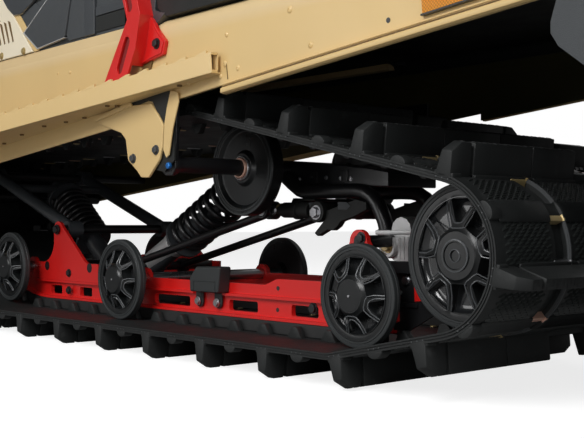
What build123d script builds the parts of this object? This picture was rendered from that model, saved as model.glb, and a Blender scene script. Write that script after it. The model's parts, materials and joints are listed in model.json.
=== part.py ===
"""Rear tunnel, running boards, suspension and track of a snowmobile.

X points forward, Y to the left and Z up. The origin is on the ground, midway along and across.
Sizes are in millimetres.
"""
import os
from math import asin, atan2, cos, degrees, hypot, pi, radians, sin

from build123d import *

os.makedirs("parts", exist_ok=True)

# Overall length, and the gap that is left between pieces that fit together
half_length = 1120.0
fit = 0.3

# Track: one closed loop of belt with a lug row on every second drive pitch
lug_pitch = 145.3
lug_rows = 27
lug_height = 39.0
belt_t = 9.0
track_width = 508.0
lug_base = 24.0
lug_tip = 14.0
lug_phase = 140.5
drive_lug_y = 156.5
drive_lug_width = 10.0
drive_lug_height = 22.0
drive_lug_base = 24.0
belt_z = lug_height + belt_t

# Lifting bumper and rear cap
bumper_r = 11.0
grip_gap = 45.0

# Wheels that carry the track, ahead of the rear idler's axle and above the belt
rear_reach = 430.0
front_reach = 161.0
bow_ahead = 1110.0
idler_x = rear_reach - half_length
idler_r = 89.0
idler_z = belt_z + 128.0
idler_face_y = 191.5
bogie_r = 70.5
bogie_ahead = (179.5, 771.8, bow_ahead + 84.3)
bogie_face_y = 194.0
wheel_width = 13.0
tyre_t = 9.0
carrier_r = 76.0
carrier_ahead = 486.0
carrier_up = 256.0
carrier_face_y = 144.0
carrier_width = 24.0
sprocket_r = 88.0
sprocket_ahead = 2 * half_length - rear_reach - front_reach
sprocket_up = 240.0
sprocket_y = 100.0
sprocket_width = 20.0
sprocket_teeth = 8

# Rails: two plates on edge, whose front ends curl up
rail_y = 136.5
rail_t = 8.0
rail_bottom = 20.0
rail_top = 73.0
rail_rear_top = 83.0
rail_step = 418.0
rail_foot_width = 28.0
rail_foot_t = 4.0
rail_rib_up = 52.0
rail_rib_t = 4.0
rail_rib_out = 7.0
bow_r = 400.0
bow_turn = 34.0
slider_width = 27.0

# Shafts
axle_r = 10.0
shaft_r = 9.0
rear_pivot_ahead = 228.0
rear_pivot_up = 142.0
front_pivot_ahead = bow_ahead - 34.0
front_pivot_up = 158.0
shock_foot_ahead = 952.0
shock_foot_up = 84.0
front_shock_ahead = bow_ahead + 10.0
front_tube_share = 0.75
front_hanger_ahead = sprocket_ahead - 229.0
front_hanger_up = 280.0

# Arms, rods and springs
arm_r = 13.0
arm_y = 60.0
front_arm_y = 112.0
rod_r = 6.0
spring_r = 40.0
wire_r = 5.5
coils = 9
damper_r = 20.0
damper_rod_r = 9.0

# Tunnel: a channel with a raked lower edge
track_gap = 33.0
wall_y = track_width / 2 + track_gap
wall_t = 4.0
tunnel_top = belt_z + 478.0
tunnel_corner = 22.0
hem_drop = 0.089
hem_ahead = 337.0
hem_up = 348.0
hem_height = 14.0
hem_t = 5.0
hem_front_ahead = 344.0
hem_notch_ahead = 480.0
cap_rear_ahead = 2 * bumper_r + grip_gap - rear_reach
cap_depth = 33.0
tunnel_rear_ahead = cap_rear_ahead + cap_depth

# Running boards and their outer tubes
board_rear_ahead = 352.0
board_front_ahead = sprocket_ahead - 49.0
board_flare = 0.103
tube_width = 13.0
tube_height = 30.0
tube_wall = 2.5
tube_rise = 30.0
board_t = 3.0
board_edge_y = wall_y + hem_t + fit

# Seat base and side covers
seat_rear_ahead = 560.0
seat_front_ahead = 1250.0
seat_height = 125.0
seat_wall = 5.0
seat_bolts = (400.0, 300.0)
seat_bolt_r = 4.5
cover_low_ahead = 905.0
cover_high_ahead = 1030.0
cover_t = 4.0


def ahead(x):
    """Place along the machine of a point given ahead of the rear idler's axle."""
    return idler_x + x


def bow(x):
    """Place along the machine of a point given ahead of where the rails start to curl up."""
    return ahead(bow_ahead + x)


def up(z):
    """Height above the ground of a point given above the belt's flat run."""
    return belt_z + z


def side_view(corners):
    """Corners of the side view, given ahead of the rear idler's axle and above the belt."""
    return [(ahead(x), up(z)) for x, z in corners]


def bow_view(corners):
    """Corners of the side view, given ahead of where the rails start to curl up."""
    return [(bow(x), up(z)) for x, z in corners]


def side_plane(y):
    """Upright plane at y, drawn in X and Z, whose extrusions go to the right, towards -Y."""
    return Plane(origin=(0, y, 0), x_dir=(1, 0, 0), z_dir=(0, -1, 0))


def hem_z(x):
    """Height of the tunnel's lower edge at x."""
    return up(hem_up) - hem_drop * (x - ahead(hem_ahead))


def tangents(circles):
    """Directions of the straight runs between circles that a belt goes round clockwise."""
    runs = []
    for i, (x, z, r) in enumerate(circles):
        x2, z2, r2 = circles[(i + 1) % len(circles)]
        gap = hypot(x2 - x, z2 - z)
        runs.append(atan2(z2 - z, x2 - x) - asin((r - r2) / gap))
    return runs


def touch(circle, angle, out):
    """Point of a circle's left side for a belt that runs at an angle, grown by out."""
    x, z, r = circle
    return (x - (r + out) * sin(angle), z + (r + out) * cos(angle))


def turn_of(i, runs):
    """Angles at which the belt comes to circle i and leaves it, the second one the smaller."""
    come = runs[i - 1]
    return come, come - (come - runs[i]) % (2 * pi)


# Circles that the belt's inner face goes round: idler, carrier, sprocket, rail bow, first bogie wheel
loop = [
    (idler_x, idler_z, idler_r + fit),
    (ahead(carrier_ahead), up(carrier_up), carrier_r + fit),
    (ahead(sprocket_ahead), up(sprocket_up), sprocket_r + fit),
    (ahead(bow_ahead), up(bow_r), bow_r),
    (ahead(bogie_ahead[0]), up(bogie_r), bogie_r),
]
loop_runs = tangents(loop)


def belt_outline(out):
    """Closed outline of the belt, grown by out from its inner face."""
    with BuildSketch() as outline:
        with BuildLine():
            for i, circle in enumerate(loop):
                come, leave = turn_of(i, loop_runs)
                middle = (come + leave) / 2
                ThreePointArc(touch(circle, come, out), touch(circle, middle, out), touch(circle, leave, out))
                after = loop[(i + 1) % len(loop)]
                Line(touch(circle, leave, out), touch(after, leave, out))
        make_face()
    return outline.sketch


def belt_stations(out):
    """Arcs and straight runs of the belt as (length, start, angle, radius)."""
    pieces = []
    for i, circle in enumerate(loop):
        come, leave = turn_of(i, loop_runs)
        radius = circle[2] + out
        pieces.append(((come - leave) * radius, circle, come, radius))
        start = touch(circle, leave, out)
        end = touch(loop[(i + 1) % len(loop)], leave, out)
        pieces.append((hypot(end[0] - start[0], end[1] - start[1]), start, leave, 0))
    return pieces


def belt_places(count, phase, out, outward=True):
    """Planes spaced evenly round the belt, whose z points out of it or into it."""
    pieces = belt_stations(belt_t / 2)
    total = sum(piece[0] for piece in pieces)
    places = []
    for k in range(count):
        s = (phase + total * k / count) % total
        for length, start, angle, radius in pieces:
            if s <= length:
                break
            s -= length
        if radius:
            heading = angle - s / radius
            x, z = touch(start, heading, out)
        else:
            heading = angle
            lift = out - belt_t / 2
            x = start[0] + s * cos(heading) - lift * sin(heading)
            z = start[1] + s * sin(heading) + lift * cos(heading)
        side = 1 if outward else -1
        places.append(Plane(origin=(x, 0, z), x_dir=(cos(heading), 0, sin(heading)),
                            z_dir=(-side * sin(heading), 0, side * cos(heading))))
    return places


belt_length = sum(piece[0] for piece in belt_stations(belt_t / 2))
print("belt length", round(belt_length, 1), "lug pitches", round(lug_rows * lug_pitch, 1))

# Distance along the loop from its start, the idler's first touch, to the first bogie wheel's last touch
to_wheel = sum(piece[0] for piece in belt_stations(belt_t / 2)[:-1])

# Track: lug rows with bevelled ends, and two rows of drive lugs inside
lug_bevel = 17.0
lug_shoulder = 0.71 * lug_height
lug_root = 3.0
with BuildPart() as lug:
    with BuildSketch(Plane.YZ.offset(-lug_base / 2)):
        Polygon((-track_width / 2, -lug_root), (track_width / 2, -lug_root), (track_width / 2, lug_shoulder),
                (track_width / 2 - lug_bevel, lug_height), (-track_width / 2 + lug_bevel, lug_height),
                (-track_width / 2, lug_shoulder), align=None)
    extrude(amount=lug_base)
    with BuildSketch(Plane.XZ):
        Polygon((-lug_base / 2, -lug_root), (lug_base / 2, -lug_root), (lug_tip / 2, lug_height),
                (-lug_tip / 2, lug_height), align=None)
    extrude(amount=track_width, both=True, mode=Mode.INTERSECT)

with BuildPart() as drive_lug:
    with BuildSketch(Plane.XZ):
        Polygon((-drive_lug_base / 2, 0), (drive_lug_base / 2, 0), (0, drive_lug_height), align=None)
    extrude(amount=drive_lug_width / 2, both=True)

with BuildPart() as track:
    with BuildSketch(side_plane(track_width / 2)):
        add(belt_outline(belt_t))
        add(belt_outline(0), mode=Mode.SUBTRACT)
    extrude(amount=track_width)
    phase = to_wheel - lug_phase
    with Locations(*[place.location for place in belt_places(lug_rows, phase, belt_t)]):
        add(lug.part)
    inner_places = belt_places(2 * lug_rows, phase + lug_pitch / 4, 0, outward=False)
    for side in (-1, 1):
        with Locations(*[Plane(origin=place.origin + Vector(0, side * drive_lug_y, 0), x_dir=place.x_dir,
                               z_dir=place.z_dir).location for place in inner_places]):
            add(drive_lug.part)

# Rails: upright plates with bosses at the wheels, a lug at the rear pivot and a tail at the idler
boss_r = 19.0
rail_rear = 150.0
slot_up = 37.0
slot_height = 17.0
slot_corner = 4.0
rail_slots = ((ahead(683.0), 106.0), (ahead(486.0), 73.0), (ahead(340.0), 60.0), (bow(-18.0), 46.0),
              (bow(-135.0), 46.0))
ribs = ((ahead(262.0), ahead(533.0)), (ahead(612.0), bow(62.0)))
step_slope = 14.0
tail_top = (170.0, 95.0)
tail_end = ((0.0, 22.0), (-16.0, -18.0))
slider_start = 35.0
bow_centre = (ahead(bow_ahead), up(bow_r))


def bow_point(radius, angle):
    """Point of the rail's bow at an angle from its lowest point."""
    return (bow_centre[0] + radius * sin(radians(angle)), bow_centre[1] - radius * cos(radians(angle)))


def bow_band(low, high, rear, turn):
    """Flat band between two heights above the belt that ends in the bow."""
    inner, outer = bow_r - high, bow_r - low
    with BuildSketch() as band:
        with BuildLine():
            Line((ahead(rear), up(low)), bow_point(outer, 0))
            ThreePointArc(bow_point(outer, 0), bow_point(outer, turn / 2), bow_point(outer, turn))
            Line(bow_point(outer, turn), bow_point(inner, turn))
            ThreePointArc(bow_point(inner, turn), bow_point(inner, turn / 2), bow_point(inner, 0))
            Line(bow_point(inner, 0), (ahead(rear), up(high)))
            Line((ahead(rear), up(high)), (ahead(rear), up(low)))
        make_face()
    return band.sketch


pivot_lug_r = 17.0
pivot_lug_front = 42.0
pivot_lug_rear = 63.0
pivot_lug_foot = rail_rear_top - 5.0
idler_boss_r = 24.0
wheel_places = [(ahead(bogie_ahead[0]), up(bogie_r + fit)), (ahead(bogie_ahead[1]), up(bogie_r + fit))]
lift_3 = bow_r - ((bow_r - bogie_r - fit) ** 2 - (bogie_ahead[2] - bow_ahead) ** 2) ** 0.5
wheel_places.append((ahead(bogie_ahead[2]), up(lift_3)))

with BuildPart() as rails:
    with BuildSketch(side_plane(rail_y + rail_t / 2)):
        add(bow_band(rail_bottom, rail_top, rail_rear, bow_turn))
        Polygon((ahead(rail_rear), up(rail_bottom)), (ahead(rail_step), up(rail_bottom)),
                (ahead(rail_step + step_slope), up(rail_top)),
                (ahead(rail_step - step_slope), up(rail_rear_top)), (ahead(rail_rear), up(rail_rear_top)),
                align=None)
        Polygon(*side_view([(rail_rear, rail_bottom), tail_top]),
                *[(idler_x + x, idler_z + z) for x, z in tail_end], align=None)
        Polygon(*side_view([(rear_pivot_ahead + pivot_lug_front, pivot_lug_foot),
                            (rear_pivot_ahead + pivot_lug_r, rear_pivot_up),
                            (rear_pivot_ahead - pivot_lug_r, rear_pivot_up),
                            (rear_pivot_ahead - pivot_lug_rear, pivot_lug_foot)]), align=None)
        with Locations((ahead(rear_pivot_ahead), up(rear_pivot_up))):
            Circle(pivot_lug_r)
        with Locations((idler_x, idler_z)):
            Circle(idler_boss_r)
        with Locations(*wheel_places):
            Circle(boss_r)
        for x, length in rail_slots:
            with Locations((x, up(slot_up))):
                RectangleRounded(length, slot_height, slot_corner, mode=Mode.SUBTRACT)
    extrude(amount=rail_t)
    with BuildSketch(side_plane(rail_y + rail_foot_width / 2)):
        add(bow_band(rail_bottom, rail_bottom + rail_foot_t, rail_rear, bow_turn))
    extrude(amount=rail_foot_width)
    with BuildSketch(side_plane(rail_y + rail_t / 2 + rail_rib_out)):
        for rib_rear, rib_front in ribs:
            with Locations((rib_rear, up(rail_rib_up))):
                Rectangle(rib_front - rib_rear, rail_rib_t, align=(Align.MIN, Align.MIN))
    extrude(amount=rail_rib_out)
    with Locations(*[Location((x, rail_y, z), (90, 0, 0)) for x, z in wheel_places + [(idler_x, idler_z)]]):
        Hole(radius=axle_r + fit)
    with Locations(Location((ahead(rear_pivot_ahead), rail_y, up(rear_pivot_up)), (90, 0, 0))):
        Hole(radius=shaft_r + fit)
    mirror(about=Plane.XZ)

with BuildPart() as sliders:
    with BuildSketch(side_plane(rail_y + slider_width / 2)):
        add(bow_band(fit, rail_bottom - fit, rail_rear + slider_start, bow_turn))
    extrude(amount=slider_width)
    mirror(about=Plane.XZ)

# Front brackets on the rails, for the front arm's lower shaft and the shocks' feet
gusset_t = 6.0
gusset_out = rail_y + rail_t / 2 + fit + gusset_t
gusset_low = rail_rib_up + rail_rib_t + fit
gusset_foot = 92.0
gusset_toes = ((34.0, gusset_foot), (45.0, gusset_foot), (45.0, gusset_low), (-190.0, gusset_low),
               (-190.0, gusset_foot), (-153.0, gusset_foot))
gusset_flare = ((-142.0, 95.0), (-132.0, 102.0))
gusset_peak = ((-50.0, 166.0), (-34.0, 174.0), (-18.0, 158.0))
gusset_front = ((-19.0, 132.0), (-1.0, 101.0))
with BuildPart() as gussets:
    with BuildSketch(side_plane(gusset_out)):
        with BuildLine():
            foot = Polyline(*bow_view(gusset_toes))
            flare = ThreePointArc(foot @ 1, *bow_view(gusset_flare))
            slope = Line(flare @ 1, bow_view(gusset_peak)[0])
            peak = ThreePointArc(slope @ 1, *bow_view(gusset_peak[1:]))
            front = Line(peak @ 1, bow_view(gusset_front)[0])
            ThreePointArc(front @ 1, bow_view(gusset_front)[1], foot @ 0)
        make_face()
    extrude(amount=gusset_t)
    with Locations(Location((ahead(front_pivot_ahead), rail_y, up(front_pivot_up)), (90, 0, 0)),
                   Location((ahead(shock_foot_ahead), rail_y, up(shock_foot_up)), (90, 0, 0)),
                   Location((ahead(front_shock_ahead), rail_y, up(shock_foot_up)), (90, 0, 0))):
        Hole(radius=shaft_r + fit)
    mirror(about=Plane.XZ)


# Wheels: a hub closed by its cap, five forked spokes that fall to a deep rim, and a rubber tyre
spokes = 5
hub_share = 0.35
hub_out = 13.0
hub_cap_t = 8.0
hub_back = 9.0
fork_rise = 10.0
fork_fall = 2.0
rim_t = 4.0
barrel_t = 8.5
floor_t = 2.0
hub_step = 2.0
hub_bevel = 3.0
rim_lip = 1.0
window_gap = 3.0
window_share = (0.39, 0.27)
fork_share = (0.1, 0.27)
fork_depth = 0.07


def spoke_window(low, high, shares):
    """Opening along X between two radii, whose half widths are shares of them."""
    near, far = low * shares[0], high * shares[1]
    with BuildSketch() as window:
        Polygon((low, -near), (high, -far), (high, far), (low, near), align=None)
    return window.sketch


def wheel(radius, face_y, places, first_fork):
    """Forked wheels on both sides at the given places, with one fork at the angle first_fork."""
    with BuildPart() as wheels:
        rim_r = radius - tyre_t - fit
        hub_r = hub_share * radius
        web_r = rim_r - barrel_t
        inner_y = face_y - wheel_width
        cap_y = face_y + hub_out - hub_cap_t
        back_y = inner_y + rim_lip
        for x, z in places:
            with BuildSketch(Plane(origin=(x, 0, z), x_dir=(0, 1, 0), z_dir=(1, 0, 0))):
                Polygon((inner_y - hub_back, axle_r + fit), (cap_y, axle_r + fit), (cap_y, 0),
                        (face_y + hub_out, 0), (face_y + hub_out, hub_r - hub_step),
                        (face_y + fork_rise, hub_r + rim_lip), (face_y - fork_fall, web_r),
                        (face_y - rim_lip, rim_r - rim_t), (face_y - rim_lip, rim_r), (back_y, rim_r),
                        (back_y, hub_r - hub_bevel), (inner_y - hub_back, hub_r - 2 * hub_bevel), align=None)
            revolve(axis=Axis((x, 0, z), (0, 1, 0)))
            with BuildSketch(Plane(origin=(x, face_y + hub_out, z), x_dir=(1, 0, 0), z_dir=(0, -1, 0))):
                low, high = hub_r + window_gap, web_r - hub_step
                with PolarLocations(0, spokes, start_angle=first_fork + 180 / spokes):
                    add(spoke_window(low, high, window_share))
                with PolarLocations(0, spokes, start_angle=first_fork):
                    add(spoke_window(low + fork_depth * radius, high, fork_share))
            extrude(amount=face_y + hub_out - back_y - floor_t, mode=Mode.SUBTRACT)
        mirror(about=Plane.XZ)
    return wheels


idler_places = [(idler_x, idler_z)]
bogie_wheels = wheel(bogie_r, bogie_face_y, wheel_places, 270)
idler_wheels = wheel(idler_r, idler_face_y, idler_places, 90)

with BuildPart() as wheel_tyres:
    for tyre_r, tyre_y, places in ((bogie_r, bogie_face_y, wheel_places),
                                   (idler_r, idler_face_y, idler_places)):
        with BuildSketch(side_plane(tyre_y)):
            with Locations(*places):
                Circle(tyre_r)
                Circle(tyre_r - tyre_t, mode=Mode.SUBTRACT)
        extrude(amount=wheel_width)
    mirror(about=Plane.XZ)

carrier_hub_r = 24.0
carrier_rim_t = 12.0
carrier_slope = 5.0
dish = 7.0
with BuildPart() as carrier_wheels:
    with BuildSketch(Plane(origin=(ahead(carrier_ahead), 0, up(carrier_up)), x_dir=(0, 1, 0),
                           z_dir=(1, 0, 0))):
        inner_y = carrier_face_y - carrier_width
        rim_inner = carrier_r - carrier_rim_t
        Polygon((inner_y, shaft_r + fit), (carrier_face_y, shaft_r + fit), (carrier_face_y, carrier_hub_r),
                (carrier_face_y - dish, carrier_hub_r + carrier_slope),
                (carrier_face_y - dish, rim_inner - carrier_slope), (carrier_face_y, rim_inner),
                (carrier_face_y, carrier_r - hub_step), (carrier_face_y - hub_step, carrier_r),
                (inner_y + hub_step, carrier_r), (inner_y, carrier_r - hub_step), align=None)
    revolve(axis=Axis((ahead(carrier_ahead), 0, up(carrier_up)), (0, 1, 0)))
    mirror(about=Plane.XZ)


def crossing(x, z, y=0.0):
    """Location at a shaft across the machine, whose own Z lies along Y."""
    return Location((x, y, z), (90, 0, 0))


axle_gap = 2.0
axle_out = hub_out - hub_cap_t - axle_gap
with BuildPart() as bogie_axles:
    with Locations(*[crossing(x, z) for x, z in wheel_places]):
        Cylinder(axle_r, 2 * (bogie_face_y + axle_out))

with BuildPart() as idler_axle:
    with Locations(crossing(idler_x, idler_z)):
        Cylinder(axle_r, 2 * (idler_face_y + axle_out))

# Drive axle with two toothed wheels, carried by the tunnel's walls
sprocket_root_r = sprocket_r - 14.0
tooth_size = (18.0, 20.0)
drive_shaft_r = 16.0
with BuildPart() as drive_axle:
    with Locations(crossing(ahead(sprocket_ahead), up(sprocket_up))):
        Cylinder(drive_shaft_r, 2 * (wall_y - wall_t - fit))
    for side in (-1, 1):
        with BuildSketch(side_plane(side * sprocket_y + sprocket_width / 2)):
            with Locations((ahead(sprocket_ahead), up(sprocket_up))):
                Circle(sprocket_root_r)
                with PolarLocations(sprocket_r - tooth_size[0] / 2 - 1, sprocket_teeth):
                    Rectangle(*tooth_size)
        extrude(amount=sprocket_width)

# Tunnel: a channel that is open below, with a hem along the rear part of its lower edges and a shallow
# notch ahead of the hem
bulkhead_t = 4.0
front_x = half_length - bulkhead_t - fit
rear_x = ahead(tunnel_rear_ahead)
hem_front = ahead(hem_front_ahead)
notch_front = ahead(hem_notch_ahead)
with BuildPart() as tunnel:
    with BuildSketch(Plane.YZ.offset(rear_x)):
        with BuildLine():
            low = hem_z(front_x)
            outer = FilletPolyline((-wall_y, low), (-wall_y, tunnel_top), (wall_y, tunnel_top), (wall_y, low),
                                   radius=tunnel_corner)
            offset(amount=wall_t, side=Side.RIGHT)
        make_face()
    extrude(amount=front_x - rear_x)
    with BuildSketch(side_plane(wall_y + 1)):
        Polygon((rear_x, hem_z(rear_x)), (front_x, hem_z(front_x)), (front_x, low - 1), (rear_x, low - 1),
                align=None)
        Polygon((hem_front, low), (notch_front, low), (notch_front, hem_z(notch_front) + hem_height),
                (hem_front, hem_z(hem_front) + hem_height), align=None)
    extrude(amount=2 * wall_y + 2, mode=Mode.SUBTRACT)
    for outer_face in (wall_y + hem_t, -wall_y):
        with BuildSketch(side_plane(outer_face)):
            Polygon((rear_x, hem_z(rear_x)), (hem_front, hem_z(hem_front)),
                    (hem_front, hem_z(hem_front) + hem_height), (rear_x, hem_z(rear_x) + hem_height),
                    align=None)
        extrude(amount=hem_t)

# Front bulkhead: the plate that bolts to the front chassis
bolt_y_spacing = 400.0
bolt_z_spacing = 160.0
bulkhead_bolt_r = 5.5
bulkhead_mid = (hem_z(half_length) + tunnel_top) / 2
with BuildPart() as front_bulkhead:
    with BuildSketch(Plane(origin=(half_length, 0, bulkhead_mid), x_dir=(0, 1, 0), z_dir=(-1, 0, 0))):
        Rectangle(2 * wall_y, tunnel_top - hem_z(half_length))
        with GridLocations(bolt_y_spacing, bolt_z_spacing, 2, 2):
            Circle(bulkhead_bolt_r, mode=Mode.SUBTRACT)
    extrude(amount=bulkhead_t)

# Running boards: a flat deck that flares outward to the front, and a rectangular tube along its edge
board_z_rear = hem_z(ahead(board_rear_ahead)) + tube_rise
board_length = board_front_ahead - board_rear_ahead
board_run = Vector(1, board_flare, -hem_drop).normalized()
tube_start = Vector(ahead(board_rear_ahead), board_edge_y + tube_width / 2, board_z_rear + tube_height / 2)
tube_across = Vector(-board_flare, 1, 0).normalized()
tube_length = board_length / board_run.X
with BuildPart() as board_tubes:
    with BuildSketch(Plane(origin=tube_start, x_dir=tube_across, z_dir=board_run)):
        Rectangle(tube_width, tube_height)
        Rectangle(tube_width - 2 * tube_wall, tube_height - 2 * tube_wall, mode=Mode.SUBTRACT)
    extrude(amount=tube_length)
    mirror(about=Plane.XZ)

board_plane = Plane(origin=(ahead(board_rear_ahead), wall_y + fit, board_z_rear),
                    x_dir=(1, 0, -hem_drop), z_dir=(hem_drop, 0, 1))
board_u = board_length / board_plane.x_dir.X
board_gap = board_edge_y - wall_y - 2 * fit
with BuildPart() as running_boards:
    with BuildSketch(board_plane):
        Polygon((0, 0), (board_u, 0), (board_u, board_gap + board_flare * board_length), (0, board_gap),
                align=None)
    extrude(amount=board_t)
    mirror(about=Plane.XZ)

# Red braces: folded plates that stand on the running boards and are bolted to the tunnel's walls
strut_t = 4.0
strut_y = wall_y + 26.0
strut_flange_t = 6.0
strut_web = 5.0
strut_top = tunnel_top + 125.0
strut_slot_width = 16.0
strut_fold = side_view([(546, 410), (532, 433), (519, 484), (526, 506), (557, strut_top - belt_z)])
strut_front = side_view([(603, strut_top - belt_z), (568, 513), (555, 480)])
strut_foot = (ahead(648), ahead(574))
strut_slots = ((566.0, 427.0, -62.0, 60.0), (560.0, 534.0, 72.0, 90.0))
strut_lobe = [(546, 412), (521, 416), (486, 421), (480, 440), (501, 460), (515, 478), (524, 484), (537, 433)]


def deck_top(x):
    """Height of the running board's upper face at x."""
    return board_z_rear + board_t * (1 + hem_drop ** 2) ** 0.5 - hem_drop * (x - ahead(board_rear_ahead))


with BuildPart() as struts:
    with BuildSketch(side_plane(strut_y)):
        Polygon(*[(x, deck_top(x) + fit) for x in strut_foot], *strut_fold, *strut_front, align=None)
        for x, z, turn, length in strut_slots:
            with Locations(Location((ahead(x), up(z), 0), (0, 0, turn))):
                SlotOverall(length, strut_slot_width, mode=Mode.SUBTRACT)
    extrude(amount=strut_t)
    with BuildSketch(side_plane(strut_y - strut_t)):
        Polygon(*strut_fold, *[(x + strut_web, z) for x, z in reversed(strut_fold)], align=None)
    extrude(amount=strut_y - strut_t - wall_y - fit)
    with BuildSketch(side_plane(wall_y + fit + strut_flange_t)):
        Polygon(*side_view(strut_lobe), align=None)
    extrude(amount=strut_flange_t)
    mirror(about=Plane.XZ)

# Drop brackets under the running boards, and the hangers inside them that hold the tunnel's shaft
bracket_t = 5.0
bracket_corner = 5.0
bracket_outline = [(691, 336), (605, 311), (592, 300), (585, 267), (559, 249), (548, 239), (528, 238),
                   (499, 263), (491, 281), (488, 315), (504, 334), (521, 351), (574, 352)]
with BuildPart() as drop_brackets:
    with BuildSketch(side_plane(wall_y + fit + bracket_t)) as bracket:
        Polygon(*side_view(bracket_outline), align=None)
        fillet(bracket.vertices(), radius=bracket_corner)
    extrude(amount=bracket_t)
    mirror(about=Plane.XZ)

hanger_t = 6.0
hanger_boss_r = 16.0
hanger_outline = [(464, 390), (470, 250), (478, 240), (494, 240), (540, 268), (560, 390)]
with BuildPart() as shaft_hangers:
    with BuildSketch(side_plane(wall_y - wall_t - fit)):
        Polygon(*side_view(hanger_outline), align=None)
        with Locations((ahead(carrier_ahead), up(carrier_up))):
            Circle(hanger_boss_r)
            Circle(shaft_r + fit, mode=Mode.SUBTRACT)
    extrude(amount=hanger_t)
    mirror(about=Plane.XZ)

with BuildPart() as tunnel_shaft:
    with Locations(crossing(ahead(carrier_ahead), up(carrier_up))):
        Cylinder(shaft_r, 2 * (wall_y - wall_t - fit))

# Cross shafts between the rails and across the tunnel's front
with BuildPart() as cross_shafts:
    with Locations(crossing(ahead(rear_pivot_ahead), up(rear_pivot_up))):
        Cylinder(shaft_r, 2 * (rail_y + rail_t / 2))
    with Locations(crossing(ahead(front_pivot_ahead), up(front_pivot_up)),
                   crossing(ahead(shock_foot_ahead), up(shock_foot_up)),
                   crossing(ahead(front_shock_ahead), up(shock_foot_up))):
        Cylinder(shaft_r, 2 * gusset_out)
    with Locations(crossing(ahead(front_hanger_ahead), up(front_hanger_up))):
        Cylinder(shaft_r, 2 * (wall_y - wall_t - fit))

# Rear arm: two bent tubes from a sleeve on the tunnel's shaft to the castings on the rear shaft
sleeve_r = 15.0
sleeve_out = 20.0
flange_up = 163.0
arm_level = 212.0
arm_end = 246.0
arm_bend = 20.0
arm_corners = side_view([(carrier_ahead - 4, carrier_up - 6), (430, arm_level), (arm_end, arm_level),
                         (arm_end, flange_up + fit)])
with BuildPart() as rear_arm:
    with Locations(crossing(ahead(carrier_ahead), up(carrier_up))):
        Cylinder(sleeve_r, 2 * (arm_y + sleeve_out))
    for side in (-1, 1):
        with BuildLine() as arm_path:
            FilletPolyline(*[(x, side * arm_y, z) for x, z in arm_corners], radius=arm_bend)
        with BuildSketch(Plane(origin=arm_path.line @ 0, z_dir=arm_path.line % 0)):
            Circle(arm_r)
        sweep()
    with Locations(crossing(ahead(carrier_ahead), up(carrier_up))):
        Cylinder(shaft_r + fit, 2 * (arm_y + sleeve_out) + 2, mode=Mode.SUBTRACT)

# Castings between the rear arm and the rear shaft
casting_width = 30.0
flange_t = 6.0
flange_rear, flange_front = 186.0, 260.0
casting_peak = (208.0, 158.0)
casting_peak_r = 20.0
casting_boss_r = 17.0
casting_low = 115.0
casting_rear = 193.0
casting_length = 24.0
with BuildPart() as pivot_castings:
    with BuildSketch(side_plane(arm_y + casting_width / 2)):
        with Locations((ahead(casting_peak[0]), up(casting_peak[1]))):
            Circle(casting_peak_r)
        with Locations((ahead(flange_rear), up(casting_low))):
            Rectangle(flange_front - flange_rear, flange_up - flange_t - casting_low, align=Align.MIN,
                      mode=Mode.SUBTRACT)
        with Locations((ahead(flange_rear), up(flange_up - flange_t))):
            Rectangle(flange_front - flange_rear, flange_t, align=Align.MIN)
        with Locations((ahead(casting_rear), up(casting_low))):
            Rectangle(casting_length, flange_up - casting_low, align=Align.MIN)
        with Locations((ahead(rear_pivot_ahead), up(rear_pivot_up))):
            Circle(casting_boss_r)
            Circle(shaft_r + fit, mode=Mode.SUBTRACT)
    extrude(amount=casting_width)
    mirror(about=Plane.XZ)

# Crank block under the rear arm
crank_top = arm_level - arm_r - fit
crank_half = arm_y + 14.0
crank_pin = (ahead(388), up(178))
crank_wall = 12.0
crank_space = (396.0, 180.0)
crank_gap = 60.0
crank_outline = [(280, 168), (300, crank_top), (400, crank_top), (408, 176), (392, 160), (350, 150)]
with BuildPart() as crank_block:
    with BuildSketch(side_plane(crank_half)):
        Polygon(*side_view(crank_outline), align=None)
        with Locations(crank_pin):
            Circle(shaft_r, mode=Mode.SUBTRACT)
    extrude(amount=2 * crank_half)
    with Locations(Location((ahead(crank_space[0]), 0, up(crank_space[1])))):
        Box(crank_gap, 2 * (crank_half - crank_wall), 2 * crank_gap, mode=Mode.SUBTRACT)

with BuildPart() as crank_pins:
    with Locations(crossing(*crank_pin)):
        Cylinder(shaft_r - fit, 2 * crank_half)


def rod(start, finish, y, radius, eye_r, eye_width, bores):
    """Round rod between two points of the side view, with a bored eye at each end."""
    span = Vector(finish[0] - start[0], 0, finish[1] - start[1])
    with BuildPart() as bar:
        with BuildSketch(Plane(origin=(start[0], y, start[1]), z_dir=span.normalized())):
            Circle(radius)
        extrude(amount=span.length)
        with Locations(crossing(*start, y), crossing(*finish, y)):
            Cylinder(eye_r, eye_width)
        for end, bore in zip((start, finish), bores):
            with Locations(crossing(*end, y)):
                Cylinder(bore + fit, eye_width + 2, mode=Mode.SUBTRACT)
    return bar.part


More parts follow.
